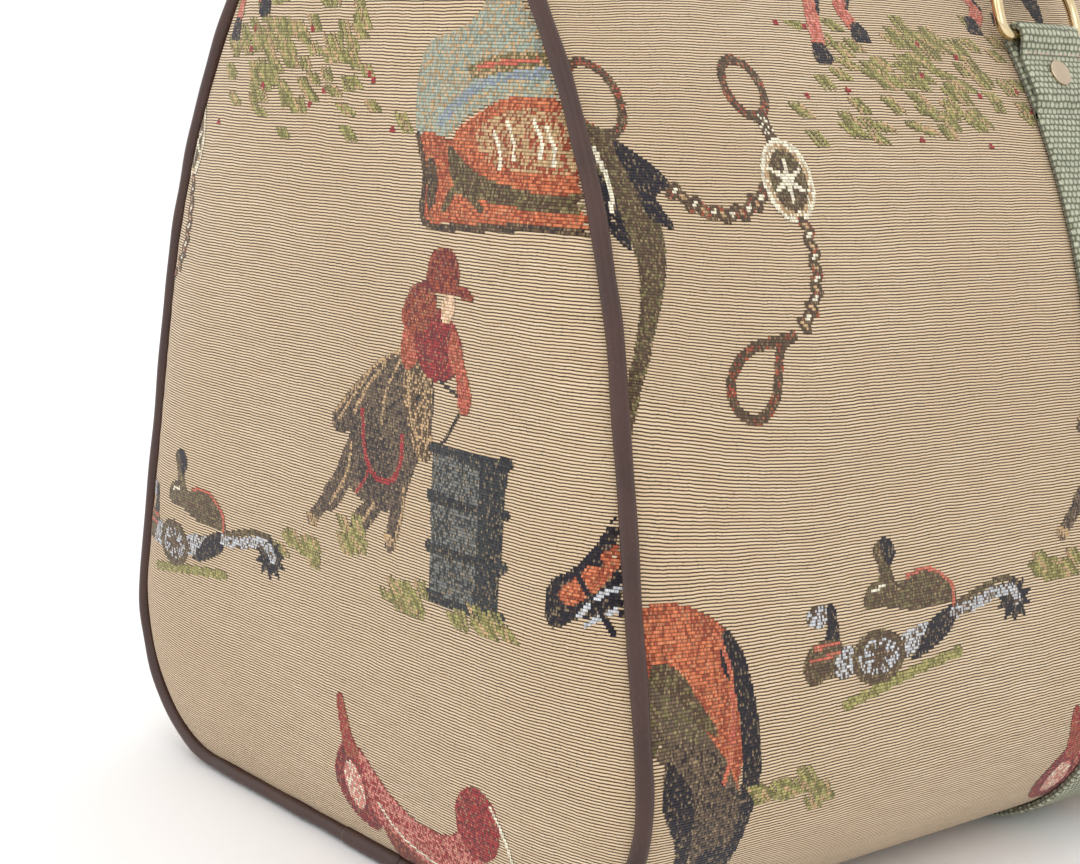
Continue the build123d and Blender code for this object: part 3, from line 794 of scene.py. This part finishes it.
def crown_sheet(x, low, high, count, lift, thickness):
    """Points and faces of a thin sheet that follows the round of the crown."""
    y = np.concatenate([np.linspace(low, high, count), np.linspace(high, low, count)])
    radius = tape_radius + lift - np.repeat([0, thickness], count)
    z = crown_height + np.sqrt(radius**2 - y**2)
    points = np.stack(np.broadcast_arrays(x[:, None], y[None, :], z[None, :]), -1)
    return points, grid_faces(len(x), len(y), wrap=True)


for side, sign in (("front", -1), ("back", 1)):
    x = np.linspace(-0.272, 0.272, 90)
    points, faces = crown_sheet(x, sign * 0.0029, sign * 0.0159, 12, 0.0, 0.0008)
    tape = make_mesh(f"{side}_woven_tape", points, faces[:, ::-sign], tape_cloth)
    settle(tape, "bag", "zip_tape", f"{side}_zip_tape")

    points, faces = [], []
    for k in range(int(2 * teeth_half_run / tooth_pitch) - 1):
        x = tooth_pitch * (k + (0.25 if sign < 0 else 0.75)) + 0.001 - teeth_half_run
        base = len(points) * len(tooth)
        for level, scale in zip(tooth_levels, tooth_scales):
            flat = tooth_middle + (tooth - tooth_middle) * scale
            height = np.full(len(flat), tape_top - 0.0004 + level)
            points.append(np.column_stack([x + flat[:, 1], sign * flat[:, 0], height]))
        faces += (grid_faces(4, len(tooth), wrap=True) + base).tolist()
        lowest = [base + i for i in range(len(tooth))]
        faces += [lowest, [i + 3 * len(tooth) for i in reversed(lowest)]]
    if sign < 0:
        faces = [face[::-1] for face in faces]
    teeth = make_mesh(f"{side}_teeth", np.concatenate(points), faces, brass, smooth=False)
    settle(teeth, "bag", "zip_metal", f"{side}_zip_teeth")

# A tab closes each end of the zip, its inner edge bent down to the tape.
for end, sign in (("left", -1), ("right", 1)):
    x = sign * np.array([0.2662, 0.2663, 0.2668, 0.272, 0.2788])
    points, faces = crown_sheet(x, -0.0158, 0.0158, 24, 0.0003, 0.0015)
    points[:2, :24, 2] -= np.array([0.0009, 0.0003])[:, None]
    tab = make_mesh(f"{end}_zip_tab", points, faces[:, ::sign], leather)
    settle(tab, "bag", "piping_leather")

lines = []
xs = np.linspace(-0.268, 0.268, 160)
at = np.full(len(xs), hem_run - 0.0035)
for sign in (-1, 1):
    path = body(sign, xs, at, 0.0002)
    normal = lookup(at, belly_normals)
    lines.append((path, np.column_stack([np.zeros(len(xs)), sign * normal[:, 0], normal[:, 1]])))
piece = stitches("zip_topstitching", lines, hem_thread)
settle(piece, "bag", "tapestry")

# --- woven motifs -----------------------------------------------------------------------
# Riding things in coloured threads. They are drawn in millimetres on the flat cloth: across
# from the left end's seam, and up from the seam under the base.
thread_width = 0.0006
repeat = 290.0
palette = {
    "brown": (92, 72, 54), "dark": (58, 48, 46), "black": (38, 34, 42), "olive": (116, 106, 70),
    "cream": (240, 230, 204), "silver": (196, 198, 202), "rust": (158, 78, 54),
    "orange": (204, 116, 78), "red": (160, 50, 52), "wine": (116, 46, 46),
    "pink": (216, 138, 124), "coral": (198, 104, 84), "grass": (166, 158, 96),
    "moss": (126, 120, 68), "denim": (160, 168, 152), "blue": (142, 152, 166),
    "slate": (56, 58, 57), "stone": (112, 112, 108), "horse": (104, 86, 70),
    "tan": (194, 160, 118), "skin": (238, 200, 166),
}
names = list(palette)


def spots(points):
    """Points as an array. They may be written out as "x,y x,y"."""
    if isinstance(points, str):
        points = [pair.split(",") for pair in points.split()]
    return np.array(points, float)


def smooth_loop(points, closed=True, parts=5):
    """A smooth curve through a few points."""
    points = spots(points)
    if closed:
        wide = np.concatenate([points[-1:], points, points[:2]])
    else:
        wide = np.concatenate([points[:1], points, points[-1:]])
    out = []
    for p0, p1, p2, p3 in zip(wide, wide[1:], wide[2:], wide[3:]):
        for t in np.linspace(0, 1, parts, endpoint=False):
            out.append(0.5 * (2 * p1 + (p2 - p0) * t + (2 * p0 - 5 * p1 + 4 * p2 - p3) * t**2
                              + (3 * p1 - p0 - 3 * p2 + p3) * t**3))
    if not closed:
        out.append(points[-1])
    return np.array(out)


class Cloth:
    """The coloured threads of one panel, row by row, before they become mesh."""

    def __init__(self, low, high):
        self.low = np.array(low, float)
        size = np.array(high, float) - self.low
        self.pitch = np.array([thread_width, rib_pitch]) * 1000
        self.low = np.floor(self.low / self.pitch) * self.pitch
        columns, rows = (size / self.pitch).astype(int)
        self.paint = np.full((rows, columns), -1, np.int16)
        self.shift = (0.0, 0.0)

    def window(self, low, high):
        """The part of the cloth inside a box, with its cells' middles."""
        start = np.floor((np.add(low, self.shift) - self.low) / self.pitch).astype(int)
        stop = np.ceil((np.add(high, self.shift) - self.low) / self.pitch).astype(int) + 1
        limit = self.paint.shape[::-1]
        start, stop = np.clip(start, 0, limit), np.clip(stop, 0, limit)
        across = self.low[0] + (np.arange(start[0], stop[0]) + 0.5) * self.pitch[0] - self.shift[0]
        up = self.low[1] + (np.arange(start[1], stop[1]) + 0.5) * self.pitch[1] - self.shift[1]
        x, y = np.meshgrid(across, up)
        return self.paint[start[1]:stop[1], start[0]:stop[0]], x, y

    def lay(self, part, mask, colour, mottle=None, share=0.2):
        part[mask] = names.index(colour)
        if mottle:
            part[mask & (rng.random(mask.shape) < share)] = names.index(mottle)

    def shape(self, colour, points, mottle=None, share=0.2, smooth=True):
        loop = smooth_loop(points) if smooth else spots(points)
        part, x, y = self.window(loop.min(0), loop.max(0))
        inside = np.zeros(x.shape, bool)
        for (x0, y0), (x1, y1) in zip(loop, np.roll(loop, -1, 0)):
            if y0 != y1:
                crosses = (y0 > y) != (y1 > y)
                inside ^= crosses & (x < (x1 - x0) * (y - y0) / (y1 - y0) + x0)
        self.lay(part, inside, colour, mottle, share)

    def stroke(self, colour, points, width, mottle=None, share=0.2, smooth=True):
        path = spots(points)
        if smooth and len(path) > 2:
            path = smooth_loop(path, closed=False)
        part, x, y = self.window(path.min(0) - width, path.max(0) + width)
        near = np.full(x.shape, 1e9)
        for start, end in zip(path, path[1:]):
            way = end - start
            dx, dy = x - start[0], y - start[1]
            t = np.clip((dx * way[0] + dy * way[1]) / max(way @ way, 1e-9), 0, 1)
            near = np.minimum(near, np.hypot(dx - t * way[0], dy - t * way[1]))
        self.lay(part, near < width / 2, colour, mottle, share)

    def oval(self, colour, x0, y0, rx, ry, tilt=0.0, mottle=None, share=0.2, band=None):
        turn = np.linspace(0, 2 * pi, 24, endpoint=False)
        c, s = cos(radians(tilt)), sin(radians(tilt))
        points = np.column_stack([
            x0 + rx * np.cos(turn) * c - ry * np.sin(turn) * s,
            y0 + rx * np.cos(turn) * s + ry * np.sin(turn) * c,
        ])
        if band:
            self.stroke(colour, np.vstack([points, points[:1]]), band, mottle, share, smooth=False)
        else:
            self.shape(colour, points, mottle, share, smooth=False)

    def chain(self, points, size):
        path = smooth_loop(points, closed=False, parts=12)
        length = distances(path)
        for i, at in enumerate(np.arange(0, length[-1], size * 0.62)):
            x, y = np.interp(at, length, path[:, 0]), np.interp(at, length, path[:, 1])
            tilt = 35 if i % 2 else -40
            self.oval("brown", x, y, size * 0.62, size * 0.36, tilt, "rust", 0.12)
            self.oval("cream" if i % 2 else "tan", x, y, size * 0.3, size * 0.13, tilt)

    def tufts(self, x0, y0, x1, y1, count, flowers=0):
        """Slanting blades of grass, thick in the middle of a patch and thin at its edges."""
        for i in range(count):
            x = x0 + (x1 - x0) * (rng.random() + rng.random()) / 2
            y = y0 + (y1 - y0) * (rng.random() + rng.random()) / 2
            lean, tall = rng.uniform(1.5, 4.5), rng.uniform(2.0, 4.5)
            for blade in range(3):
                foot = x + blade * 1.9
                tone = ("grass", "moss", "grass", "tan")[(i + blade) % 4]
                self.stroke(tone, [(foot, y), (foot - lean, y + tall)], 1.25, "moss", 0.25)
        for _ in range(flowers):
            x, y = rng.uniform(x0, x1), rng.uniform(y0, y1)
            self.oval("red", x, y, 1.0, 0.9)


def bit(c):
    """A curb bit: cheek ring, round boss, chain, shank loop and part of its leather."""
    c.oval("brown", 57, 337, 6.5, 8.5, 14, "rust", 0.25, band=2.6)
    c.stroke("brown", "60,328 62,321", 4.2, "cream", 0.3)
    c.chain("55,308 44,302 33,302 24,307 17,312", 5.0)
    c.oval("cream", 63.5, 311, 9.4, 11.6)
    c.oval("tan", 63.5, 311, 8.2, 10.2, 0, "cream", 0.4)
    c.oval("brown", 63.5, 311, 6.6, 8.6, 0, "olive", 0.3)
    for tilt in (0, 60, 120):
        c.oval("cream", 63.5, 311, 0.9, 6.6, tilt)
    c.chain("66,299 67,290 65,280 58,271", 4.6)
    c.stroke("brown", "55,270 50,266 47,254 41,248 34,250 33,258 40,266 52,269", 2.8, "rust", 0.2)
    c.oval("brown", 7, 333, 7.5, 11, 10, "rust", 0.25, band=2.6)
    c.shape("brown", "1,324 9,322 14,312 18,300 17,285 12,270 6,252 1,238 0,246 6,266 9,284 6,298 "
            "1,306", "olive", 0.3)
    c.shape("black", "9,320 18,315 23,309 18,305 22,297 15,299 12,308", "dark", 0.3)
    c.shape("black", "0,316 5,306 8,290 4,293 0,300", "dark", 0.3)
    c.stroke("cream", "3,318 5,308 4,300", 1.3)


def spurs(c):
    """A pair of spurs lying on the ground."""
    c.stroke("grass", "65,174 77,176 95,179 112,181", 2.8, "moss", 0.35)
    c.shape("silver", "89,189 100,191 111,192 108,188 95,184 88,183", "brown", 0.35)
    c.shape("black", "101,191 111,194 110,188 99,183 92,182 95,185", "dark", 0.2)
    c.shape("brown", "79,213 81,208 81,205 76,203 75,198 85,197 95,195 106,195 112,195 111,200 "
            "107,203 100,205 93,204 88,203 86,207 85,211 87,214 83,215", "olive", 0.3)
    c.shape("black", "82,215 86,215 88,211 85,208 83,211", "dark", 0.2)
    c.stroke("coral", "92,204 96,205 102,205 108,202 111,199 111,194", 1.1)
    c.stroke("cream", "78,202 83,203", 0.9)
    c.stroke("brown", "112,194 120,196 129,198 136,198 141,195", 1.8, "olive", 0.3)
    star = []
    for i in range(20):
        reach = 8.6 if i % 2 else 5.0
        star.append((137.5 + reach * cos(i * pi / 10), 192 + 0.8 * reach * sin(i * pi / 10)))
    c.shape("black", star, "dark", 0.2, smooth=False)
    c.stroke("silver", "111,192 120,193 129,195 136,195 139,192", 3.4, "brown", 0.35)
    c.oval("silver", 57, 198, 4.4, 2.8, 0, "brown", 0.35)
    c.shape("black", "60,200 63,200 64,195 64,191 59,191 60,195", "dark", 0.3)
    c.shape("brown", "51,187 55,191 64,191 66,187 63,183 54,181 51,183", "olive", 0.25)
    c.stroke("coral", "55,190 64,190.5", 1.0)
    c.stroke("coral", "53,187 65,188", 1.0)
    c.shape("silver", "64,188 69,189 69,182 61,182", "brown", 0.4)
    c.oval("silver", 78.8, 184.6, 8.8, 5.6, 0, "brown", 0.45)
    c.oval("brown", 78.8, 184.6, 9.4, 6.0, 0, "olive", 0.2, band=2.4)
    for tilt in (0, 45, 90, 135):
        c.oval("brown", 78.8, 184.6, 6.5, 0.8, tilt)


def trotting_horse(c):
    """A chestnut horse on long grass."""
    c.tufts(72, 318, 185, 362, 95, 12)
    c.shape("black", "186,408 197,406 205,394 206,378 200,362 197,374 193,388 184,397", "dark", 0.3)
    c.shape("rust", "88,398 87,408 93,415 105,412 125,408 150,409 172,413 186,409 192,398 188,387 "
            "174,383 150,388 128,385 108,382 94,387", "orange", 0.4)
    c.shape("rust", "90,394 85,406 77,418 70,427 74,434 82,433 94,424 106,412 104,398", "orange",
            0.35)
    c.shape("rust", "82,433 74,436 66,429 57,419 55,413 59,410 65,414 72,420 80,424", "brown", 0.3)
    c.shape("black", "55,416 59,417 61,411 56,410", "dark", 0.3)
    c.shape("brown", "75,434 76,441 80,434", "dark", 0.3)
    c.stroke("black", "79,436 89,430 98,421 106,412", 3.0, "dark", 0.3)
    c.oval("black", 71, 428, 1.3, 1.1)
    c.stroke("tan", "64,425 69,417", 1.1)
    c.stroke("tan", "74,433 78,423", 1.1)
    c.shape("brown", "110,385 140,389 170,387 160,393 130,394", "rust", 0.4)
    c.shape("orange", "160,408 176,409 185,402 180,396 168,400", "rust", 0.4)
    legs = [
        "98,390 100,375 95,362 92,349", "106,388 112,374 108,364 111,356",
        "172,390 168,378 171,368 165,362", "182,392 181,380 184,372 180,365",
    ]
    for leg in map(spots, legs):
        c.stroke("coral", leg, 5.0, "pink", 0.3)
        c.stroke("black", leg[:3] + (2.6, 0), 1.2)
        x, y = leg[-1]
        c.shape("black", [(x - 3, y - 3), (x + 3.5, y - 3), (x + 2.4, y + 2.5), (x - 2, y + 2.5)],
                "dark", 0.2)


def horse_body(c):
    """The body of a bay horse, from behind its shoulder."""
    c.shape("rust", "0,200 3,204 9,205 18,203 27,197 31,188 31,176 28,163 25,152 20,158 14,166 "
            "7,172 0,175", "orange", 0.35)
    c.shape("orange", "1,200 12,201 20,197 24,187 22,178 15,186 7,190", "rust", 0.3)
    c.shape("horse", "0,189 5,188 13,181 20,173 26,162 27,148 22,148 13,160 5,170 0,175", "olive",
            0.3)
    c.shape("brown", "4,192 11,190 17,182 22,174 17,176 11,183 4,187", "olive", 0.3)
    c.shape("black", "26,198 31,192 34,180 35,166 32,148 29,132 24,134 27,150 29,166 28,182 "
            "24,190", "dark", 0.3)
    c.shape("horse", "8,174 20,170 28,158 28,146 25,134 26,120 21,119 19,134 14,147 8,160",
            "dark", 0.35)
    c.shape("black", "19,142 26,143 26,130 27,119 20,118 19,130", "dark", 0.25)
    c.shape("black", "6,170 13,162 15,146 17,130 12,129 11,145 5,158", "dark", 0.35)
    c.stroke("coral", "24,196 27,186 26,172 23,162", 1.4, "orange", 0.3)
    c.tufts(32, 148, 62, 160, 16)
    c.tufts(-4, 112, 52, 126, 26)


def horse_head(c):
    """Its lowered head and neck, with a bridle."""
    c.shape("black", "-27,208 -25,213 -20,216 -15,222 -12,228 -9,234 -7,229 -4,235 -3,229 -1,224 "
            "-1,203 -3,204 -9,207 -14,205 -18,204 -23,201 -26,202", "dark", 0.3)
    c.shape("rust", "-23,210 -17,216 -12,222 -8,224 -10,216 -15,210 -20,207", "orange", 0.4)
    c.shape("orange", "-21,211 -16,216 -13,216 -17,210", "rust", 0.2)
    c.stroke("rust", "-5,231 -3,224 -2,214", 2.0, "orange", 0.4)
    c.oval("black", -13.5, 219, 1.4, 1.0)
    c.stroke("silver", "-17,205 -12,211 -7,214 -2,217", 1.3)
    c.stroke("silver", "-15,203 -8,208 -2,210", 1.3)
    c.stroke("black", "-19,216 -12,207 -8,202", 1.4)


def grazing_horse(c):
    """The whole horse, where no seam cuts it."""
    c.shape("rust", "-8,226 2,220 10,205 8,190 0,186 -6,200", "black", 0.35)
    c.shape("horse", "-4,190 4,190 8,178 6,160 4,140 4,122 -1,122 -1,140 -4,160 -6,178", "dark",
            0.35)
    horse_body(c)
    horse_head(c)


def rider(c):
    """A rider turning a horse round a drum."""
    legs = [
        ("-110,230 -115,221 -120,216", 7.5), ("-117,219 -124,213 -129,208", 4.2),
        ("-95,222 -101,215 -105,212", 6.5), ("-103,213 -108,209 -112,204", 4.0),
        ("-87,224 -88,217 -90,209", 5.0),
    ]
    for leg, width in legs:
        c.stroke("horse", leg, width, "dark", 0.3)
    for hoof in ((-129, 208), (-112, 204), (-90, 209.5)):
        c.oval("tan", *hoof, 3.0, 1.6, -20, "horse", 0.3)
    c.shape("horse", "-84,261 -92,259 -100,255 -108,249 -115,243 -120,238 -116,235 -111,236 "
            "-114,228 -112,222 -104,218 -94,217 -85,221 -81,229 -77,236 -73,244 -73,255 -77,261",
            "dark", 0.3)
    c.shape("dark", "-105,245 -99,243 -94,235 -91,226 -97,220 -105,223 -108,233", "horse", 0.4)
    c.shape("brown", "-85,261 -77,261 -73,253 -74,245 -72,239 -74,234 -79,234 -82,240 -86,250",
            "tan", 0.3)
    strands = [
        "-88,259 -94,250 -96,241", "-95,257 -103,250 -109,242", "-103,253 -110,246 -116,239",
        "-83,260 -84,250 -80,240", "-77,259 -76,250 -77,240", "-110,233 -112,224 -120,214",
        "-84,226 -85,218 -87,211", "-98,218 -103,213 -109,207",
    ]
    for strand in strands:
        c.stroke("tan", strand, 1.2, "horse", 0.3)
    c.stroke("tan", "-119,240 -108,250 -98,257 -87,262", 1.1, "horse", 0.35)
    c.shape("dark", "-87,261 -85,266 -83,261", "horse", 0.2)
    c.oval("black", -79, 250, 1.2, 1.0)
    c.stroke("red", "-105,243 -104,234 -101,228 -95,225 -89,227 -86,233 -86,239", 1.7)
    c.stroke("red", "-101,228 -103,224 -107,220", 1.3)
    c.stroke("dark", "-60,252 -63,246 -68,240 -73,238", 0.9)
    c.stroke("dark", "-62,253 -70,256 -75,259", 0.8)
    c.shape("rust", "-85,274 -80,271 -80,261 -84,257 -88,260 -87,267", "coral", 0.4)
    c.shape("red", "-80,274 -71,274 -64,270 -61,263 -64,258 -69,256 -75,256 -80,260 -82,267",
            "wine", 0.45)
    c.shape("coral", "-65,270 -60,261 -57,254 -58,249 -62,250 -63,257 -67,263", "rust", 0.45)
    c.shape("rust", "-85,277 -77,281 -73,276 -76,269 -83,267 -88,270", "wine", 0.3)
    c.oval("skin", -68, 275, 2.8, 4.2, -15, "tan", 0.15)
    c.shape("wine", "-77,280 -76,288 -72,290 -68,290 -65,287 -65,281", "rust", 0.4)
    c.shape("wine", "-85,278 -78,281 -70,282 -62,281 -58,279 -59,277.5 -66,278.5 -74,278.5 "
            "-81,276.5", "rust", 0.45)
    c.shape("stone", "-72,237 -42,237 -43,198 -71,199", "slate", 0.45, smooth=False)
    c.shape("slate", "-52,237 -42,237 -43,198 -52,198", "black", 0.3, smooth=False)
    for level in (238.5, 225.5, 212.0, 199.0):
        hoop = [(-72.5, level), (-56, level - 0.6), (-41.5, level + 0.2)]
        c.stroke("slate", hoop, 2.8, "black", 0.35)
    c.tufts(-148, 193, -122, 202, 14)
    c.tufts(-116, 198, -100, 210, 12)
    c.tufts(-98, 190, -70, 198, 14)
    c.tufts(-60, 191, -38, 197, 9)


def saddle(c):
    """A red saddle."""
    c.shape("wine", "-118,138 -112,147 -104,146 -98,140 -96,130 -102,122 -112,124 -118,131",
            "red", 0.4)
    c.shape("rust", "-115,159 -112,160 -108,150 -104,143 -107,138 -112,144 -114,152", "red", 0.45)
    c.shape("pink", "-105,146 -97,141 -87,135 -75,132 -63,134 -55,140 -49,138 -51,128 -65,120 "
            "-81,119 -94,121 -101,128", "red", 0.5)
    c.oval("pink", -109, 134, 5.5, 8.0, 10, "cream", 0.35)
    c.oval("wine", -109, 134, 5.5, 8.0, 10, "red", 0.3, band=1.4)
    c.shape("wine", "-97,125 -81,119 -61,118 -41,120 -37,113 -61,109 -91,112", "rust", 0.4)
    c.stroke("cream", "-98,132 -88,124 -74,121 -58,121", 1.0)
    c.oval("red", -51, 141, 9.0, 10.5, -12, "wine", 0.3)
    c.stroke("cream", "-45,148 -39,138 -37,124", 1.1)
    c.shape("olive", "-36,128 -28,124 -24,116 -34,114", "rust", 0.4)


def boot(c):
    """A tooled boot below the hem of washed jeans."""
    c.shape("denim", "-85,318 -87,332 -83,342 -71,346 -64,354 -61,372 -37,372 -37,350 -29,336 "
            "-25,324 -33,328 -51,329 -65,324 -75,318", "tan", 0.3)
    c.stroke("blue", "-76,322 -62,332 -44,335 -30,328", 3.0, "denim", 0.4)
    c.shape("olive", "-67,336 -59,339 -45,340 -43,337 -55,335 -65,333", "tan", 0.4)
    c.stroke("coral", "-64,336 -54,337.5 -46,338", 1.4)
    c.shape("rust", "-85,317 -80,319 -71,317 -64,314 -66,299 -76,296 -80,296 -81,308", "orange",
            0.35)
    c.shape("orange", "-71,317 -63,324 -51,329 -33,328 -21,322 -14,314 -9,302 -12,297 -25,298 "
            "-41,298 -59,297 -69,298", "rust", 0.4)
    c.shape("brown", "-72,316 -61,310 -47,307 -33,306 -20,309 -22,303 -40,302 -56,303 -68,305",
            "olive", 0.35)
    c.shape("tan", "-62,320 -50,326 -34,325 -24,320 -30,312 -46,311 -57,313", "rust", 0.4)
    for i, x in enumerate(range(-60, -20, 4)):
        top = 324 - abs(x + 42) * 0.12 - 2 * (i % 2)
        c.stroke("cream" if i % 3 else "tan", [(x, top), (x + 3, top - 5), (x + 3.5, top - 9)], 0.9)
    c.stroke("brown", "-85,318 -81,308 -80,296 -62,296 -40,297.5 -10,297", 1.9, "dark", 0.3)
    c.shape("brown", "-80,312 -76,310 -76,302 -79,300", "dark", 0.3)
    c.stroke("brown", "-72,300 -67,306 -58,301", 2.2, "olive", 0.3)


def spark(c):
    """A small bright sprig."""
    c.stroke("orange", "-11,273 -11,259", 1.5)
    c.stroke("orange", "-16,264 -6,266", 1.4)


def weave_print(panel, low, high, moves, inside):
    """The motifs of one panel as rows of raised threads."""
    cloth = Cloth(low, high)
    for motif, x, y in moves:
        cloth.shift = (x, y)
        motif(cloth)
    runs = []
    for row, tones in enumerate(cloth.paint):
        changes = np.flatnonzero(np.diff(tones)) + 1
        for start, end in zip([0, *changes], [*changes, len(tones)]):
            if tones[start] >= 0:
                cuts = [*range(start, end, 8), end]
                runs += [(begin, stop, row, tones[start]) for begin, stop in zip(cuts, cuts[1:])]
    starts, ends, rows, tones = np.array(runs).T
    a0 = (cloth.low[0] + starts * cloth.pitch[0]) * MM
    a1 = (cloth.low[0] + ends * cloth.pitch[0]) * MM
    b0 = (cloth.low[1] + rows * cloth.pitch[1]) * MM
    b1 = b0 + cloth.pitch[1] * MM
    keep = inside((a0 + a1) / 2, (b0 + b1) / 2)
    a0, a1, b0, b1 = a0[keep], a1[keep], b0[keep], b1[keep]
    a = np.stack([a0, a1, a1, a0], -1)
    b = np.stack([b0, b0, b1, b1], -1)
    points = raised(panel, a, b, 0.00016)
    colours = np.array([linear(*palette[name])[:3] for name in names])[tones[keep]]
    colours = np.repeat(colours[:, None], 4, axis=1)
    faces = np.arange(len(a) * 4).reshape(-1, 4)
    uv = np.stack([a, b], -1)
    piece = make_mesh(f"{panel}_motifs", points, faces, motif_threads, uv, colours)
    settle(piece, "bag", "tapestry")


def front_print(c):
    """What the seam leaves of the first repeat on the front panel."""
    for motif in (bit, spurs, trotting_horse, horse_body):
        motif(c)


all_motifs = [bit, spurs, trotting_horse, grazing_horse, rider, saddle, boot, spark]
width, height = 2 * half_length * 1000, hem_run * 1000


def on_side(a, b):
    return (a > 0.0012) & (a < 2 * half_length - 0.0012) & (b > 0.004) & (b < hem_run - 0.002)


def on_end(a, b):
    reach = np.interp(np.arctan2(b - end_middle, abs(a)), rim_angles, rim_reach)
    return np.hypot(a, b - end_middle) < reach * 0.985


seam_place = 121.0  # across an end panel, from its middle to its front seam
end_rise = -110.0  # the front panel's cloth starts under the base
past_seam = seam_place - repeat  # the repeat before that one
not_saddle = [motif for motif in all_motifs if motif is not saddle]
front_moves = [(front_print, 0, 0)]
front_moves += [(motif, k * repeat, 0) for k in (1, 2) for motif in not_saddle]
front_moves += [(saddle, 278, -4), (saddle, 278 + repeat, -4)]
weave_print("front", (0, 0), (width, height), front_moves, on_side)
back_moves = [(motif, k * repeat + 96, 0) for k in (-1, 0, 1, 2) for motif in all_motifs]
weave_print("back", (0, 0), (width, height), back_moves, on_side)
left_moves = [(motif, seam_place, end_rise) for motif in (horse_head, rider, saddle, boot, spark)]
left_moves += [(spurs, past_seam + 2, end_rise), (bit, past_seam + 18, end_rise)]
left_moves += [(trotting_horse, past_seam + 14, end_rise - 4)]
weave_print("left_end", (-130, 0), (130, 290), left_moves, on_end)
right_moves = [(motif, 60 + k * repeat, end_rise) for k in (-1, 0) for motif in all_motifs]
weave_print("right_end", (-130, 0), (130, 290), right_moves, on_end)


# --- floor, light and camera ------------------------------------------------------------
def studio():
    """Plain white surroundings with soft light from both sides and above."""
    scene = bpy.context.scene
    scene.view_settings.view_transform = "Standard"
    world = bpy.data.worlds.new("studio")
    world.use_nodes = True
    world.node_tree.nodes["Background"].inputs[0].default_value = (1.0, 1.0, 1.0, 1.0)
    world.node_tree.nodes["Background"].inputs[1].default_value = 1.06
    scene.world = world
    white = Material("floor", 0.9)
    grain = white.noise(white.place(), 3.0)
    white.colour(white.mix(grain, (0.955, 0.955, 0.955, 1), (0.97, 0.97, 0.97, 1)))
    size = 40.0
    corners = [(-size, -size, 0), (size, -size, 0), (size, size, 0), (-size, size, 0)]
    floor = make_mesh("floor", corners, [[0, 1, 2, 3]], white.material)
    lamps = [
        ("key", (-1.3, -1.9, 1.7), 1.4, 8.5),
        ("fill", (-2.2, 0.6, 1.2), 1.6, 7.0),
        ("top", (0.2, 0.1, 2.4), 2.0, 8.0),
        ("rim", (1.8, 1.6, 1.5), 1.4, 6.3),
    ]
    for name, spot, size, power in lamps:
        lamp = bpy.data.lights.new(name, "AREA")
        lamp.size = size
        lamp.energy = power
        holder = bpy.data.objects.new(name, lamp)
        aim = Vector((0.0, 0.0, 0.15)) - Vector(spot)
        holder.rotation_euler = aim.to_track_quat("-Z", "Y").to_euler()
        holder.location = spot
        scene.collection.objects.link(holder)


def camera():
    """Low at the bag's left corner, so close that the top and right are out of view."""
    yaw, pitch, roll = radians(39.80), radians(10.0), radians(2.20)
    view = Vector((sin(yaw) * cos(pitch), cos(yaw) * cos(pitch), -sin(pitch)))
    level = Vector((cos(yaw), -sin(yaw), 0.0))
    upright = level.cross(view)
    right = level * cos(roll) + upright * sin(roll)
    up = upright * cos(roll) - level * sin(roll)
    lens = bpy.data.cameras.new("camera")
    lens.sensor_width = 36.0
    lens.lens = 66.67
    lens.clip_start = 0.01
    holder = bpy.data.objects.new("camera", lens)
    place = Matrix((right, up, -view)).transposed().to_4x4()
    place.translation = (-0.5973, -0.4601, 0.2236)
    holder.matrix_world = place
    bpy.context.scene.collection.objects.link(holder)
    bpy.context.scene.camera = holder


studio()
camera()
